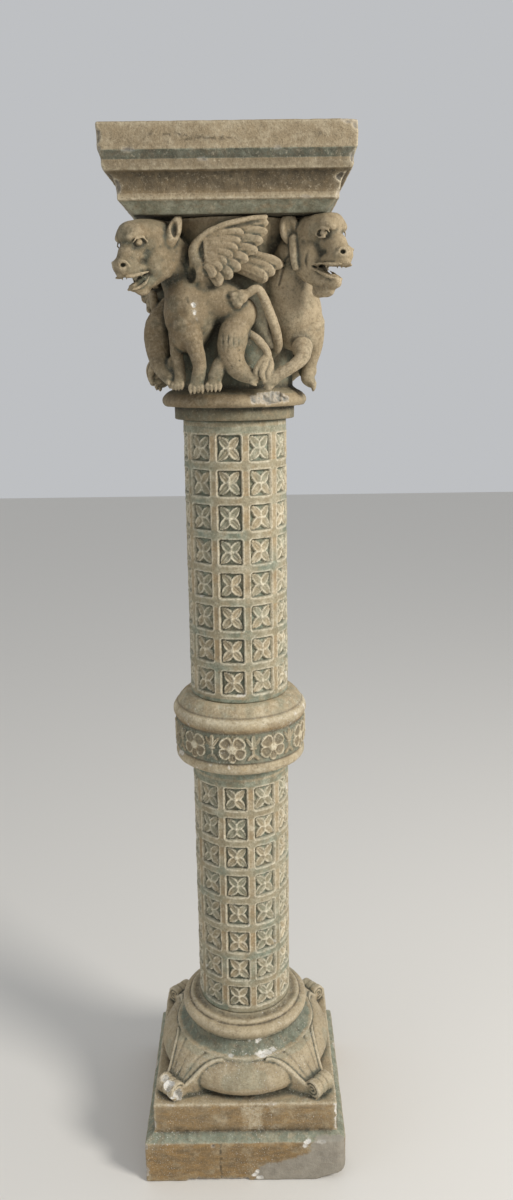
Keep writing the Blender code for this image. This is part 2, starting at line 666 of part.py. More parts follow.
def beast(clay, nod=-8.0, round_ears=False):
    """One winged beast along the front face, its head at the left corner."""
    clay.add(ball((-54, -84, 142), (36, 38, 42)), 8)                                        # chest
    clay.add(ball((-58, -90, 112), (23, 29, 21)), 8)
    clay.add(limb([(-50, -86, 158), (-12, -90, 154), (12, -90, 140)], [29, 26, 22]), 8)     # back
    clay.add(limb([(-55, -72, 158), (-66, -72, 188), (-78, -84, 212)], [32, 28, 26]), 8)    # neck
    clay.add(limb([(14, -92, 144), (3, -101, 114), (-1, -104, 88), (9, -105, 68), (28, -107, 58)],
                  [17, 20, 17, 13, 9]), 4)                                                   # haunch and hock
    head(clay, nod, round_ears)
    # outer foreleg
    clay.add(limb([(-58, -107, 126), (-49, -112, 100), (-43, -107, 76), (-45, -103, 57)],
                  [19, 12, 9.5, 9.5]), 4)
    paw(clay, (-46, -101, 54), (-0.1, -0.75, -0.6), (1, 0, 0), 9)
    if round_ears:                                        # foreleg that crosses the corner
        clay.add(limb([(-86, -94, 96), (-103, -92, 82), (-110, -74, 68), (-110, -56, 58)],
                      [14, 9.5, 8, 8]), 4)
        paw(clay, (-108, -56, 57), (-0.35, 0.75, -0.5), (0.1, 0.3, 1), 8.5)
    else:                                                 # slim foreleg, and the haunch behind it
        clay.add(limb([(-72, -90, 112), (-74, -89, 92), (-71, -91, 72), (-70, -94, 58)],
                      [12, 8.5, 7.5, 7.5]), 3)
        paw(clay, (-70, -94, 56), (-0.3, -0.7, -0.6), (1, -0.3, 0), 7.5)
        clay.add(limb([(-84, -46, 152), (-99, -58, 126), (-101, -64, 98), (-95, -74, 72), (-84, -86, 58)],
                      [15, 19, 17, 12.5, 9]), 3)
        paw(clay, (-86, -84, 57), (0.55, -0.7, -0.35), (0.8, 0.55, 0), 8.5)
    # hind foot under the haunch
    clay.add(limb([(-2, -99, 76), (-14, -104, 76), (-23, -104, 61)], [12, 10.5, 10]), 3)
    paw(clay, (-24, -103, 56), (-0.05, -0.75, -0.6), (1, 0, 0), 9)
    # tail, which curls round a hollow and ends in a tuft
    clay.add(limb([(20, -98, 116), (34, -103, 107), (46, -105, 92), (46, -107, 76), (38, -108, 64)],
                  [5, 5.5, 5, 6.5, 7]), 2)
    clay.cut(ball((26, -112, 90), (5.5, 16, 6.5)), 2)
    locks(clay, (
        [(44, -107, 84), (38, -113, 76), (32, -115, 66), (34, -114, 56)],
        [(47, -107, 84), (43, -114, 75), (39, -117, 64), (42, -115, 53)],
        [(50, -105, 82), (51, -111, 72), (47, -114, 62), (50, -112, 52)],
    ), [4, 5, 4.2, 2.2])
    # raised limb of the next beast
    clay.add(limb([(59, -90, 112), (52, -104, 136), (37, -111, 168), (18, -116, 162)],
                  [6.5, 6.5, 7.5, 7.5]), 2.5)
    paw(clay, (18, -116, 161), (-0.9, -0.25, -0.3), (0, 0.3, 1), 8)
    # shoulder and arm of the wing
    clay.add(ball((-34, -100, 194), (20, 18, 27)), 6)
    clay.add(limb([(-36, -106, 190), (-46, -110, 216), (-32, -114, 235), (-6, -117, 247), (26, -118, 254),
                   (46, -117, 256)], [12, 8.5, 6.5, 5, 4, 3]), 4)
    clay.add(plume((-34, -107, 214), (32, -110, 236), 21, 7, (0, -1, 0)), 3)
    clay.add(plume((-34, -108, 204), (6, -112, 196), 18, 7, (0, -1, 0)), 3)
    clay.add(plume((-32, -98, 210), (34, -98, 234), 20, 10, (0, -1, 0)), 3)
    tips = ((50, 250), (49, 239), (43, 228), (36, 216), (24, 205), (14, 194), (3, 184), (-12, 174))
    for k, (x, z) in enumerate(tips):
        root = (-34 + 0.5 * k, -112.0 - 0.5 * k, 234 - 5.4 * k)
        clay.add(plume(root, (x, -114.5 - 0.7 * k, z), 8.6, 3.4, (0, -1, 0), 0.24, 0.0, 2.0), 0.8)
    # far wing
    for k, (x, z) in enumerate(((68, 198), (58, 189), (48, 181))):
        clay.add(plume((6, -99, 214 - 8 * k), (x, -103 - k, z), 9.5, 4.5, (0, -1, 0), 0.28, 0.0, 2.0), 1.0)
    # hollow behind the neck
    clay.cut(ball((-51, -114, 188), (7, 17, 10)), 3)


def beast_clay(bell, low=20.0, high=264.0):
    """The bell with four beasts, one along each face, every other one of the same kind."""
    whole = Clay(176.0, low - 6, high + 6, CLAY_STEP)
    whole.add(turned(bell, low, high), 1.0)
    blend = 4.0
    for first, nod in ((0, LOW_NOD), (1, HIGH_NOD)):
        one = Clay(176.0, low - 6, high + 6, CLAY_STEP)
        beast(one, nod, first == 1)
        for turns in (first, first + 2):
            more = np.rot90(one.d, turns, (0, 1))
            soft = np.maximum(blend - np.abs(whole.d - more), 0.0)
            whole.d = np.minimum(whole.d, more) - soft * soft / (4 * blend)
    z = whole.z[None, None, :]
    whole.d = np.maximum(whole.d, np.maximum(z - high, low - z)).astype(np.float32)
    return whole


def trim(target, top):
    """Cuts a closed body off flat at a height."""
    work = bmesh.new()
    work.from_mesh(target.data)
    cut = bmesh.ops.bisect_plane(work, geom=work.verts[:] + work.edges[:] + work.faces[:], dist=1e-6,
                                 plane_co=(0, 0, top), plane_no=(0, 0, 1), clear_outer=True)
    rim = [e for e in cut["geom_cut"] if isinstance(e, bmesh.types.BMEdge) and e.is_valid and e.is_boundary]
    bmesh.ops.holes_fill(work, edges=rim, sides=0)
    work.to_mesh(target.data)
    work.free()


def make_capital(home, helpers):
    # the beasts' masses are written for heads 0.158 from the axis on a capital 0.259 high
    wide = (ABACUS_HALF - HEAD_IN) / 0.158
    tall = CAPITAL_H / 0.259
    bell = []
    for height, share in ((10, -0.04), (60, 0.0), (130, 0.07), (190, 0.29),
                          (225, 0.54), (250, 0.86), (262, 1.0)):
        bell.append((height, 1000 * (SHAFT_R + BELL_OUT + (BELL_TOP_OUT - BELL_OUT) * share) / wide))
    points, quads = beast_clay(bell).mesh()
    made = add_mesh("capital", points * (0.001 * wide, 0.001 * wide, 0.001 * tall), quads, home)
    outward(made)
    thin = made.modifiers.new("Thin", "DECIMATE")
    thin.ratio = BEAST_FACES / (2 * len(quads))
    apply_modifiers(made)
    trim(made, CAPITAL_H)
    neck = SHAFT_R + NECK_OUT
    edge = SHAFT_R + ASTRAGAL_OUT
    rim_z = NECK_H + ASTRAGAL_H
    profile = [(SHAFT_R + BELL_OUT - 0.006, rim_z + ASTRAGAL_SLOPE_H), (edge - 0.004, rim_z)]
    profile += arc((edge - 0.004, rim_z), (edge - 0.004, NECK_H), 0.004, 2)
    profile += [(neck, NECK_H), (neck, 0.0)]
    astragal = turn("astragal", profile, helpers)
    join(made, astragal, "Astragal")
    made.data.transform(Matrix.Translation((0, 0, CAPITAL_Z)))
    finish(made, (0.42, 0.35, 0.23), 0.85)


def make_abacus(home):
    fillet = ABACUS_HALF - ABACUS_FILLET_IN
    cavetto = ABACUS_HALF - ABACUS_CAVETTO_IN
    ovolo = ABACUS_HALF - ABACUS_OVOLO_IN
    z = ABACUS_Z
    line = [(ABACUS_HALF - ABACUS_SEAT_IN, z)]
    z += ABACUS_BAND_H
    line.append((ABACUS_HALF - ABACUS_BAND_IN, z))
    line.append((fillet, z + 0.0012))
    z += ABACUS_FILLET_H
    line.append((fillet, z))
    for i in range(1, 5):
        a = math.pi / 2 * i / 4
        line.append((fillet + (cavetto - fillet) * (1 - math.cos(a)), z + ABACUS_CAVETTO_H * math.sin(a)))
    z += ABACUS_CAVETTO_H
    line.append((ovolo, z + ABACUS_OVOLO_H * 0.55))
    z += ABACUS_OVOLO_H
    line.append((ovolo + 0.0004, z))
    z += ABACUS_CHAMFER_H
    line.append((ABACUS_HALF - 0.0010, z))
    line.append((ABACUS_HALF, z + ABACUS_FASCIA_H))
    abacus = turn("abacus", line[::-1], home, square=True)
    finish(abacus, (0.42, 0.35, 0.23), 0.85)


def main():
    clear_scene()
    home = collection("stucco_column", True)
    helpers = collection("cutters", False)
    make_base(home, helpers)
    make_drum("lower_drum", LOWER_DRUM_Z, LOWER_DRUM_H, LOWER_HEAD, home)
    make_ring(home, helpers)
    make_drum("upper_drum", UPPER_DRUM_Z, UPPER_DRUM_H, UPPER_HEAD, home)
    make_capital(home, helpers)
    make_abacus(home)


main()
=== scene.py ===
"""The looks of a stucco column: six carved and painted castings, one for each solid of the frame.

Clay and carving are measured in millimetres, and everything that Blender holds is in metres.
"""

import math

import bpy
import numpy as np
import openvdb
from mathutils import Matrix, Vector


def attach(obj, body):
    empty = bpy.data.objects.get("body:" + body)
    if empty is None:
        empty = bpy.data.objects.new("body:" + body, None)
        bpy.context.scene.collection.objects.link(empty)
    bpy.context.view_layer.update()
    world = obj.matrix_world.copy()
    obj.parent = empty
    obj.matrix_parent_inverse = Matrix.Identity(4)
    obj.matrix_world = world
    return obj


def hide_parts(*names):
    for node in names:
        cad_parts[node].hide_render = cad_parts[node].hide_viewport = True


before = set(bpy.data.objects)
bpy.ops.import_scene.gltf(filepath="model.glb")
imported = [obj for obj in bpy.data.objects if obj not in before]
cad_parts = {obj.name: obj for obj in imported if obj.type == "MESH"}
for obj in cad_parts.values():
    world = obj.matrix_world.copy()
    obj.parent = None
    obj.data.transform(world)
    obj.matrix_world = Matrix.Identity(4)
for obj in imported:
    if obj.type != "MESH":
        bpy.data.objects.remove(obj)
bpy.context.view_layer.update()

MM = 0.001
FINE_STEP = 1.6  # size of one cell of the clay
CAPITAL_STEP = 1.35
FAR = 12.0  # what the clay's distances start from
CLAY_HALF = 166.0  # half the width of a block of clay
KEPT_HALF = 158.2  # half the width that carving is kept within
JOINT = 0.2  # what each casting keeps away from the next

# Shaft
SHAFT_R = 75.0
COLUMNS = 10
ROWS = 8
ROW_PITCH = 48.9
COFFER_H = 36.6
COFFER_W = 35.0
COFFER_DEEP = 6.1
LATTICE_TURN = math.radians(-96.0)  # where the first column of coffers faces

# Heights of the joints between the castings, over the floor
BASE_TOP = 242.5
LOWER_DRUM_Z = 242.8
RING_Z = 657.1
UPPER_DRUM_Z = 769.4
CAPITAL_Z = 1180.4
ABACUS_Z = 1439.7
CAPITAL_H = 259.0
ABACUS_H = 101.0

NOISE_SIZE = 48
NOISE = np.random.default_rng(11).random((NOISE_SIZE,) * 3, dtype=np.float32)


def smooth(t):
    t = np.clip(t, 0.0, 1.0)
    return t * t * (3 - 2 * t)


def hump(x, width):
    return np.exp(-((x / width) ** 2))


def noise(x, y, z, scale, shift=0.0):
    """Smooth noise from -1 to 1 with lumps about scale apart."""
    cells = []
    for c in (x, y, z):
        c = np.asarray(c, np.float32) / scale + shift
        whole = np.floor(c)
        first = whole.astype(np.int64) % NOISE_SIZE
        cells.append((first, (first + 1) % NOISE_SIZE, smooth(c - whole)))
    (i0, i1, u), (j0, j1, v), (k0, k1, w) = cells

    def row(i, j):
        return NOISE[i, j, k0] * (1 - w) + NOISE[i, j, k1] * w

    near = row(i0, j0) * (1 - v) + row(i0, j1) * v
    far = row(i1, j0) * (1 - v) + row(i1, j1) * v
    return 2 * (near * (1 - u) + far * u) - 1


def rough(x, y, z, scale, shift=0.0):
    """Three octaves of noise."""
    return (noise(x, y, z, scale, shift) + 0.5 * noise(x, y, z, scale / 2.1, shift + 5.3)
            + 0.25 * noise(x, y, z, scale / 4.3, shift + 9.7)) / 1.4


def joined(a, b, blend):
    """The lesser of two distances, with a soft passage of about the width blend between them."""
    soft = np.maximum(blend - np.abs(a - b), 0.0)
    return np.minimum(a, b) - soft * soft / (4 * blend)


class Clay:
    """A block of signed distances that masses are added to and hollows cut from."""

    def __init__(self, half, low, high, step=FINE_STEP):
        count = 2 * int(round(half / step)) + 1
        self.step = step
        self.x = ((np.arange(count) - (count - 1) / 2) * step).astype(np.float32)
        self.z = (low + np.arange(int(round((high - low) / step)) + 1) * step).astype(np.float32)
        self.d = np.full((count, count, len(self.z)), FAR, np.float32)
        self.scars = []
        self.cracks = []

    def block(self, low, high):
        cut = []
        for axis, line in enumerate((self.x, self.x, self.z)):
            first, last = np.searchsorted(line, (low[axis], high[axis]))
            cut.append(slice(max(first - 1, 0), min(last + 1, len(line))))
        grid = (self.x[cut[0]][:, None, None], self.x[cut[1]][None, :, None], self.z[cut[2]][None, None, :])
        return tuple(cut), grid

    def put(self, shape, blend=3.0, hollow=False):
        """Joins a shape on, or cuts it out, with a soft edge of about the width blend."""
        low, high, distance = shape
        margin = blend + 2.5 * self.step
        cut, grid = self.block(np.asarray(low) - margin, np.asarray(high) + margin)
        old = self.d[cut]
        if 0 in old.shape:
            return
        if hollow:
            self.d[cut] = -joined(-old, distance(*grid), blend)
        else:
            self.d[cut] = joined(old, distance(*grid), blend)

    def add(self, shape, blend=3.0):
        self.put(shape, blend)

    def cut(self, shape, blend=1.5):
        self.put(shape, blend, True)

    def chip(self, centre, radii, shift=0.0, white=1.0, jag=0.35):
        """Breaks a rough scar out, and remembers it for the bare plaster that shows there."""
        low, high, distance = ball(centre, radii)
        size = float(np.min(np.asarray(radii, float) * np.ones(3)))

        def broken(x, y, z):
            near = distance(x, y, z)
            return near + jag * size * rough(x + 0 * near, y + 0 * near, z + 0 * near, max(size, 4.0), shift)

        self.put((low - size * 0.4, high + size * 0.4, broken), 0.5, True)
        self.scars.append((broken, white))

    def crack(self, path, radius):
        shape = limb(path, [radius] * len(path), 3)
        self.cut(shape, 0.4)
        self.cracks.append(shape[2])

    def cracked(self, points):
        """How dark each point is for lying in a crack."""
        out = np.zeros(len(points))
        for distance in self.cracks:
            out = np.maximum(out, smooth((1.0 - distance(*points.T)) / 0.9))
        return out

    def run(self, outline, square=0.0, blend=0.6):
        """Adds a body whose (radius, height) outline, from its top axis point down to its lowest, is turned
        about the upright axis, or run round a square with corners softened by square."""
        reach = max(r for r, _ in outline) * 1.5 + 10
        line = np.arange(0, reach, 0.5)
        ax, ay = np.abs(self.x)[:, None], np.abs(self.x)[None, :]
        if square:
            soft = np.maximum(square - np.abs(ax - ay), 0.0)
            across = np.maximum(ax, ay) + soft * soft / (4 * square)
        else:
            across = np.sqrt(ax * ax + ay * ay)
        a, b = np.array(outline[:-1], float), np.array(outline[1:], float)
        ab = b - a
        for k, z in enumerate(self.z):
            dr, dz = line[:, None] - a[:, 0], z - a[:, 1]
            t = np.clip((dr * ab[:, 0] + dz * ab[:, 1]) / np.maximum((ab**2).sum(1), 1e-9), 0, 1)
            near = np.sqrt((dr - t * ab[:, 0]) ** 2 + (dz - t * ab[:, 1]) ** 2).min(1)
            spans = (a[:, 1] > z) != (b[:, 1] > z)
            cross = a[:, 0] + (z - a[:, 1]) / np.where(spans, ab[:, 1], 1.0) * ab[:, 0]
            inside = ((cross > line[:, None]) & spans).sum(1) % 2 == 1
            new = np.interp(across, line, np.where(inside, -near, near)).astype(np.float32)
            self.d[:, :, k] = joined(self.d[:, :, k], new, blend)

    def trim(self, half, low, high):
        """Keeps the clay within a box."""
        x, y, z = self.x[:, None, None], self.x[None, :, None], self.z[None, None, :]
        outside = np.maximum(np.maximum(np.abs(x), np.abs(y)) - half, np.maximum(z - high, low - z))
        self.d = np.maximum(self.d, outside).astype(np.float32)

    def near(self, band=5.0):
        """Where the surface passes, with the coordinates there."""
        at = np.nonzero(np.abs(self.d) < band)
        return at, self.x[at[0]], self.x[at[1]], self.z[at[2]]

    def roughen(self, amount, scale, shift=0.0):
        at, x, y, z = self.near()
        self.d[at] += amount * rough(x, y, z, scale, shift)

    def blurred(self, width):
        cells = max(1, int(round(width / self.step / 2)))
        out = np.clip(self.d, -FAR, FAR)
        for axis in (0, 1, 2):
            pad = [(0, 0)] * 3
            pad[axis] = (cells + 1, cells)
            total = np.cumsum(np.pad(out, pad, mode="edge"), axis=axis, dtype=np.float32)
            count = out.shape[axis]
            out = (np.take(total, range(2 * cells + 1, 2 * cells + 1 + count), axis)
                   - np.take(total, range(count), axis)) / (2 * cells + 1)
        return out

    def wear(self, width, amount, scale, shift=0.0):
        """Rounds edges off, more here and less there."""
        soft = self.blurred(width)
        at, x, y, z = self.near()
        share = amount * smooth(0.5 + 0.9 * noise(x, y, z, scale, shift))
        self.d[at] += (soft[at] - self.d[at]) * share

    def read(self, field, points):
        """The field's values at points, read between the cells."""
        place = (points - (self.x[0], self.x[0], self.z[0])) / self.step
        place = np.clip(place, 0, np.array(field.shape) - 1.001)
        first = place.astype(int)
        t = place - first
        out = 0.0
        for i in (0, 1):
            for j in (0, 1):
                for k in (0, 1):
                    share = np.abs(1 - i - t[:, 0]) * np.abs(1 - j - t[:, 1]) * np.abs(1 - k - t[:, 2])
                    out = out + field[first[:, 0] + i, first[:, 1] + j, first[:, 2] + k] * share
        return out

    def scarred(self, points):
        """How far each point lies on a scar, from 0 to 1."""
        out = np.zeros(len(points))
        for distance, white in self.scars:
            out = np.maximum(out, white * smooth((1.1 - np.abs(distance(*points.T))) / 0.6))
        return out

    def mesh(self):
        grid = openvdb.FloatGrid()
        grid.background = FAR
        grid.copyFromArray(np.ascontiguousarray(self.d))
        points, _, quads = grid.convertToPolygons(isovalue=0.0, adaptivity=0.0)
        points = np.asarray(points, np.float64) * self.step + (self.x[0], self.x[0], self.z[0])
        return main_island(points, np.asarray(quads))


def main_island(points, faces):
    """The largest connected part of a mesh, without the crumbs."""
    label = np.arange(len(points))
    while True:
        least = label[faces].min(axis=1)
        fresh = label.copy()
        for corner in faces.T:
            np.minimum.at(fresh, corner, least)
        fresh = fresh[fresh]
        if np.array_equal(fresh, label):
            break
        label = fresh
    kinds, counts = np.unique(label[faces[:, 0]], return_counts=True)
    faces = faces[label[faces[:, 0]] == kinds[counts.argmax()]]
    used, faces = np.unique(faces, return_inverse=True)
    return points[used], faces.reshape(-1, 4)


def unit(v):
    v = np.asarray(v, float)
    return v / np.linalg.norm(v)


def ball(centre, radii, along=None, up=None):
    """An ellipsoid: radii along its own length, side and height."""
    centre = np.asarray(centre, float)
    radii = np.asarray(radii, float) * np.ones(3)
    if along is None:
        axes = np.eye(3)
        reach = radii
    else:
        a = unit(along)
        side = unit(np.cross(up if up is not None else (0, 0, 1), a))
        axes = np.array([a, side, np.cross(a, side)])
        reach = np.sqrt(((axes * radii[:, None]) ** 2).sum(0))

    def distance(x, y, z):
        x, y, z = x - centre[0], y - centre[1], z - centre[2]
        near = 0.0
        far = 0.0
        for axis, radius in zip(axes, radii):
            along_it = (x * axis[0] + y * axis[1] + z * axis[2]) / radius
            near = near + along_it * along_it
            far = far + along_it * along_it / (radius * radius)
        near = np.sqrt(near)
        return near * (near - 1) / np.sqrt(far + 1e-9)

    return centre - reach, centre + reach, distance


def smooth_line(points, values, per_span=6):
    """A Catmull-Rom curve through the points, with the values read along it."""
    points = np.column_stack([np.asarray(points, float), np.asarray(values, float)])
    ends = np.vstack([2 * points[0] - points[1], points, 2 * points[-1] - points[-2]])
    out = []
    for i in range(len(points) - 1):
        p0, p1, p2, p3 = ends[i : i + 4]
        for t in np.linspace(0, 1, per_span, endpoint=False):
            out.append(0.5 * (2 * p1 + (p2 - p0) * t + (2 * p0 - 5 * p1 + 4 * p2 - p3) * t**2
                              + (3 * p1 - p0 - 3 * p2 + p3) * t**3))
    out.append(points[-1])
    out = np.array(out)
    return out[:, :3], out[:, 3]


def limb(points, radii, per_span=6):
    """A round limb along a smooth curve."""
    points, radii = smooth_line(points, radii, per_span)
    low = (points - radii[:, None]).min(0)
    high = (points + radii[:, None]).max(0)

    def distance(x, y, z):
        best = None
        for a, b, ra, rb in zip(points[:-1], points[1:], radii[:-1], radii[1:]):
            ab = b - a
            t = ((x - a[0]) * ab[0] + (y - a[1]) * ab[1] + (z - a[2]) * ab[2]) / max(ab @ ab, 1e-6)
            t = np.clip(t, 0, 1)
            gap = np.sqrt((x - a[0] - t * ab[0]) ** 2 + (y - a[1] - t * ab[1]) ** 2
                          + (z - a[2] - t * ab[2]) ** 2) - (ra + (rb - ra) * t)
            best = gap if best is None else np.minimum(best, gap)
        return best

    return low, high, distance


def plume(root, tip, width, thick, tilt=0.0, barbs=0.0, sweep=0.0):
    """A flat feather facing the front, round at its tip, crowned along its rib, and turned by tilt."""
    root, tip = np.asarray(root, float), np.asarray(tip, float)
    length = np.linalg.norm(tip - root)
    a = (tip - root) / length
    side = unit(np.cross((0, -1, 0), a))
    normal = np.cross(a, side)
    side, normal = (side * math.cos(tilt) + normal * math.sin(tilt),
                    normal * math.cos(tilt) - side * math.sin(tilt))
    reach = width + thick + abs(sweep)
    low, high = np.minimum(root, tip) - reach, np.maximum(root, tip) + reach

    def distance(x, y, z):
        x, y, z = x - root[0], y - root[1], z - root[2]
        t = x * a[0] + y * a[1] + z * a[2]
        s = x * side[0] + y * side[1] + z * side[2]
        n = x * normal[0] + y * normal[1] + z * normal[2]
        share = np.clip(t / length, 0, 1)
        s = s - sweep * np.sin(math.pi * share)
        tip_share = np.maximum(share - 0.7, 0) / 0.3
        half = width * (0.72 + 0.28 * share) * np.sqrt(np.maximum(1 - tip_share**2, 1e-3))
        body = thick * (1 - 0.45 * np.clip(np.abs(s) / width, 0, 1) ** 2)
        if barbs:
            body = body + barbs * np.cos((t - 0.9 * np.abs(s)) * 2 * math.pi / 3.4)
            body = body + 0.7 * np.exp(-((s / 0.9) ** 2))
        return np.maximum(np.maximum(np.abs(s) - half, np.maximum(-t, t - length)), np.abs(n) - body)

    return low, high, distance


def turned(profile, low, high):
    """A round body about the upright axis, its radius read from (height, radius) pairs."""
    heights, radii = np.array(profile, float).T
    widest = radii.max()

    def distance(x, y, z):
        return np.maximum(np.sqrt(x * x + y * y) - np.interp(z, heights, radii).astype(np.float32),
                          np.maximum(low - z, z - high))

    return (-widest, -widest, low), (widest, widest, high), distance


def groove(points, radii, per_span=6):
    """A tool's path, its thin cuts widened so that they show."""
    return limb(points, [1.6 * r if r < 1.75 else r for r in radii], per_span)


# The head stands out along the diagonal of the block, and nods about the nape.
HEAD = np.array((-75.0, -83.0, 0.0))
DIAGONAL = np.array((-math.sqrt(0.5), -math.sqrt(0.5), 0.0))
ASIDE = np.array((math.sqrt(0.5), -math.sqrt(0.5), 0.0))
NAPE = (8.0, 212.0)


def head(clay, nod, round_ears):
    turn = math.radians(nod)
    forward = DIAGONAL * math.cos(turn) + np.array((0, 0, math.sin(turn)))
    up = np.cross(forward, ASIDE)
    nape = HEAD + DIAGONAL * NAPE[0] + np.array((0, 0, NAPE[1]))

    def at(f, s, h):
        return nape + forward * (f - NAPE[0]) + ASIDE * s + up * (h - NAPE[1])

    def lump(f, s, h, radii, blend=4.0, lift=0.0):
        clay.add(ball(at(f, s, h), radii, forward + up * lift, up), blend)

    def both(f, s, h, radii, blend=3.0, lift=0.0):
        lump(f, s, h, radii, blend, lift)
        lump(f, -s, h, radii, blend, lift)

    def slot(points, radii, blend=1.2, side=1):
        clay.cut(groove([at(f, s * side, h) for f, s, h in points], radii), blend)

    def cord(points, radii, blend=1.2, side=1):
        clay.add(limb([at(f, s * side, h) for f, s, h in points], radii), blend)

    lump(24, 0, 226, (32, 23, 33), 8)                     # skull
    lump(48, 0, 240, (30, 21, 21), 8)
    both(32, 11, 205, (23, 12, 19), 7)                    # cheeks
    lump(66, 0, 244, (16, 19, 15), 5, -0.3)               # forehead
    lump(68, 0, 221, (20, 13.5, 14), 6)                   # bridge of the nose
    lump(79, 0, 209, (17, 14.5, 12.5), 5, -0.15)          # muzzle
    lump(72, 0, 201, (23, 15.5, 9.5), 5, -0.12)           # upper lip
    both(90, 5, 208, (6, 6.5, 7), 4)                      # nose
    rise = 0 if round_ears else 7
    jaw = [(30, 0, 192 + rise), (48, 0, 181 + rise), (64, 0, 174 + rise), (73, 0, 174 + rise)]
    cord(jaw, [16, 12, 9 - rise / 5, 7.5 - rise / 5], 5)
    both(69, 11, 244, (13, 8, 6.5), 3, -0.5)              # brows
    if round_ears:                                        # beard, in two lobes
        lump(56, 0, 165, (13, 8, 8), 3)
        lump(44, 0, 166, (10, 7, 9), 4)
    else:
        lump(58, 0, 175, (10, 7, 6), 4)
    for side in (-1, 1):                                  # ears
        if round_ears:
            flat = forward - ASIDE * side
            clay.add(ball(at(14, 23 * side, 244), (12.5, 5.5, 19), flat, up), 2.0)
            clay.cut(ball(at(18, 27.5 * side, 244), (7.5, 4.5, 13.5), flat, up), 1.5)
            cord([(21, 22, 230), (23, 24.5, 212), (25, 23.5, 196)], [6, 5.5, 4.5], 2, side)
        else:
            cord([(19, 18, 232), (12, 24, 245), (4, 28, 262)], [10, 9, 3], 2.5, side)
            clay.cut(ball(at(18, 29 * side, 246), (4.5, 4.5, 12), forward, up), 2)
    # the mouth, open to the front and both sides and wider towards its front
    corner = 48 if round_ears else 57
    for k in range(6):
        t = k / 5
        f, h, r = corner + (90 - corner) * t, 195 - 8.5 * t**0.8, 1.8 + 5.6 * t
        slot([(f, -32, h), (f, 0, h), (f, 32, h)], [r, r, r])
    lump(62, 0, 182.5, (14, 6, 3.0), 1.5, -0.1)       # tongue
    for side in (-1, 1):
        clay.cut(ball(at(66, 18 * side, 233), (10, 5.0, 6.5), forward - ASIDE * side * 0.5, up), 3.5)
        clay.add(ball(at(66, 15.2 * side, 233), (4.8, 4.4, 4.4), forward, up), 0.8)
        clay.cut(ball(at(68.5, 19.6 * side, 233.3), (1.5, 1.8, 1.5)), 0.5)
        cord([(56, 19.5, 232), (62, 20.2, 238), (71, 18.2, 237.5), (77, 15, 232)],
             [0.9, 1.6, 1.6, 0.9], 1.2, side)
        cord([(56, 19.5, 232), (62, 19.6, 227.8), (70, 17.6, 227.5), (77, 15, 231)],
             [0.9, 1.3, 1.3, 0.9], 1.2, side)
        # creases between the brow and the snout, and over the nostril
        slot([(88, 7, 228), (80, 14, 226), (70, 17.5, 222), (60, 20, 217)], [1.5, 1.7, 1.2, 0.6], 2.0, side)
        slot([(90, 9, 219.5), (82, 14.5, 217), (72, 16.5, 212)], [0.7, 1.0, 0.6], 1.6, side)
        slot([(84, 4, 246), (79, 10, 252), (68, 14, 257)], [0.7, 1.1, 0.6], 1.6, side)
        clay.cut(ball(at(92, 9 * side, 208.5), (4.5, 3.2, 2.6), forward + ASIDE * side, up), 1.2)
        cord([(85, 14, 206), (90, 12.5, 212.5), (95, 6.5, 212)], [1.2, 1.8, 1.2], 1.4, side)
        # lips and the fold of the cheek
        cord([(corner, 17.5, 197.5), (66, 17, 196.5), (78, 15, 194.5), (90, 10, 194)],
             [1.0, 1.9, 2.2, 1.6], 1.6, side)
        cord([(corner, 15.5, 192), (62, 11.5, 184.5), (72, 8.5, 179.5), (79, 4, 178)],
             [1.0, 2.0, 2.0, 1.6], 1.6, side)
        slot([(corner - 2, 21.5, 216), (corner - 7, 22.5, 203), (corner - 7, 20, 192)],
             [0.6, 1.3, 0.8], 2.2, side)
        for f in (66, 73, 80):                            # teeth
            cord([(f, 11, 194), (f, 11, 190.5)], [1.6, 0.9], 0.8, side)
        for k in range(3):                                # locks of the beard
            slot([(66 - 6 * k, 9, 172), (63 - 6 * k, 9.5, 166), (65 - 6 * k, 7, 159)],
                 [0.5, 0.9, 0.5], 1.2, side)
        for k in range(4):                                # folds of the mane behind the cheek
            slot([(20 - 3 * k, 25, 214 - 8 * k), (10 - 3 * k, 26, 207 - 8 * k), (2 - 3 * k, 23, 197 - 8 * k)],
                 [0.5, 1.0, 0.6], 1.6, side)


def paw(clay, wrist, toward, across, size):
    """A foot of four toes with claws."""
    wrist, toward, across = np.asarray(wrist, float), unit(toward), unit(across)
    clay.add(ball(wrist + toward * size * 0.5, (size * 1.15, size * 1.05, size * 0.8), toward,
                  np.cross(toward, across)), 3)
    down = np.cross(across, toward)
    if np.dot(down, (-wrist[0], -wrist[1], -60.0)) < 0:
        down = -down
    for k in (-1.1, -0.37, 0.37, 1.1):
        start = wrist + toward * size * 0.5 + across * size * 0.55 * k
        knuckle = wrist + toward * size * (1.5 - 0.12 * abs(k)) + across * size * 0.78 * k
        tip = knuckle + toward * size * 0.42 + down * size * 0.5
        clay.add(limb([start, knuckle, tip], [size * 0.38, size * 0.42, size * 0.22], 2), 0.8)
        clay.add(limb([tip, tip + toward * size * 0.25 + down * size * 0.35], [size * 0.2, 0.6], 1), 0.5)


# The thigh's middle, back and half width at the heights 58, 68, 88 and 114
THIGH = ((28, 9, -1, 3), (-107, -105, -104, -101), (9.7, 13.7, 17.7, 20.7))


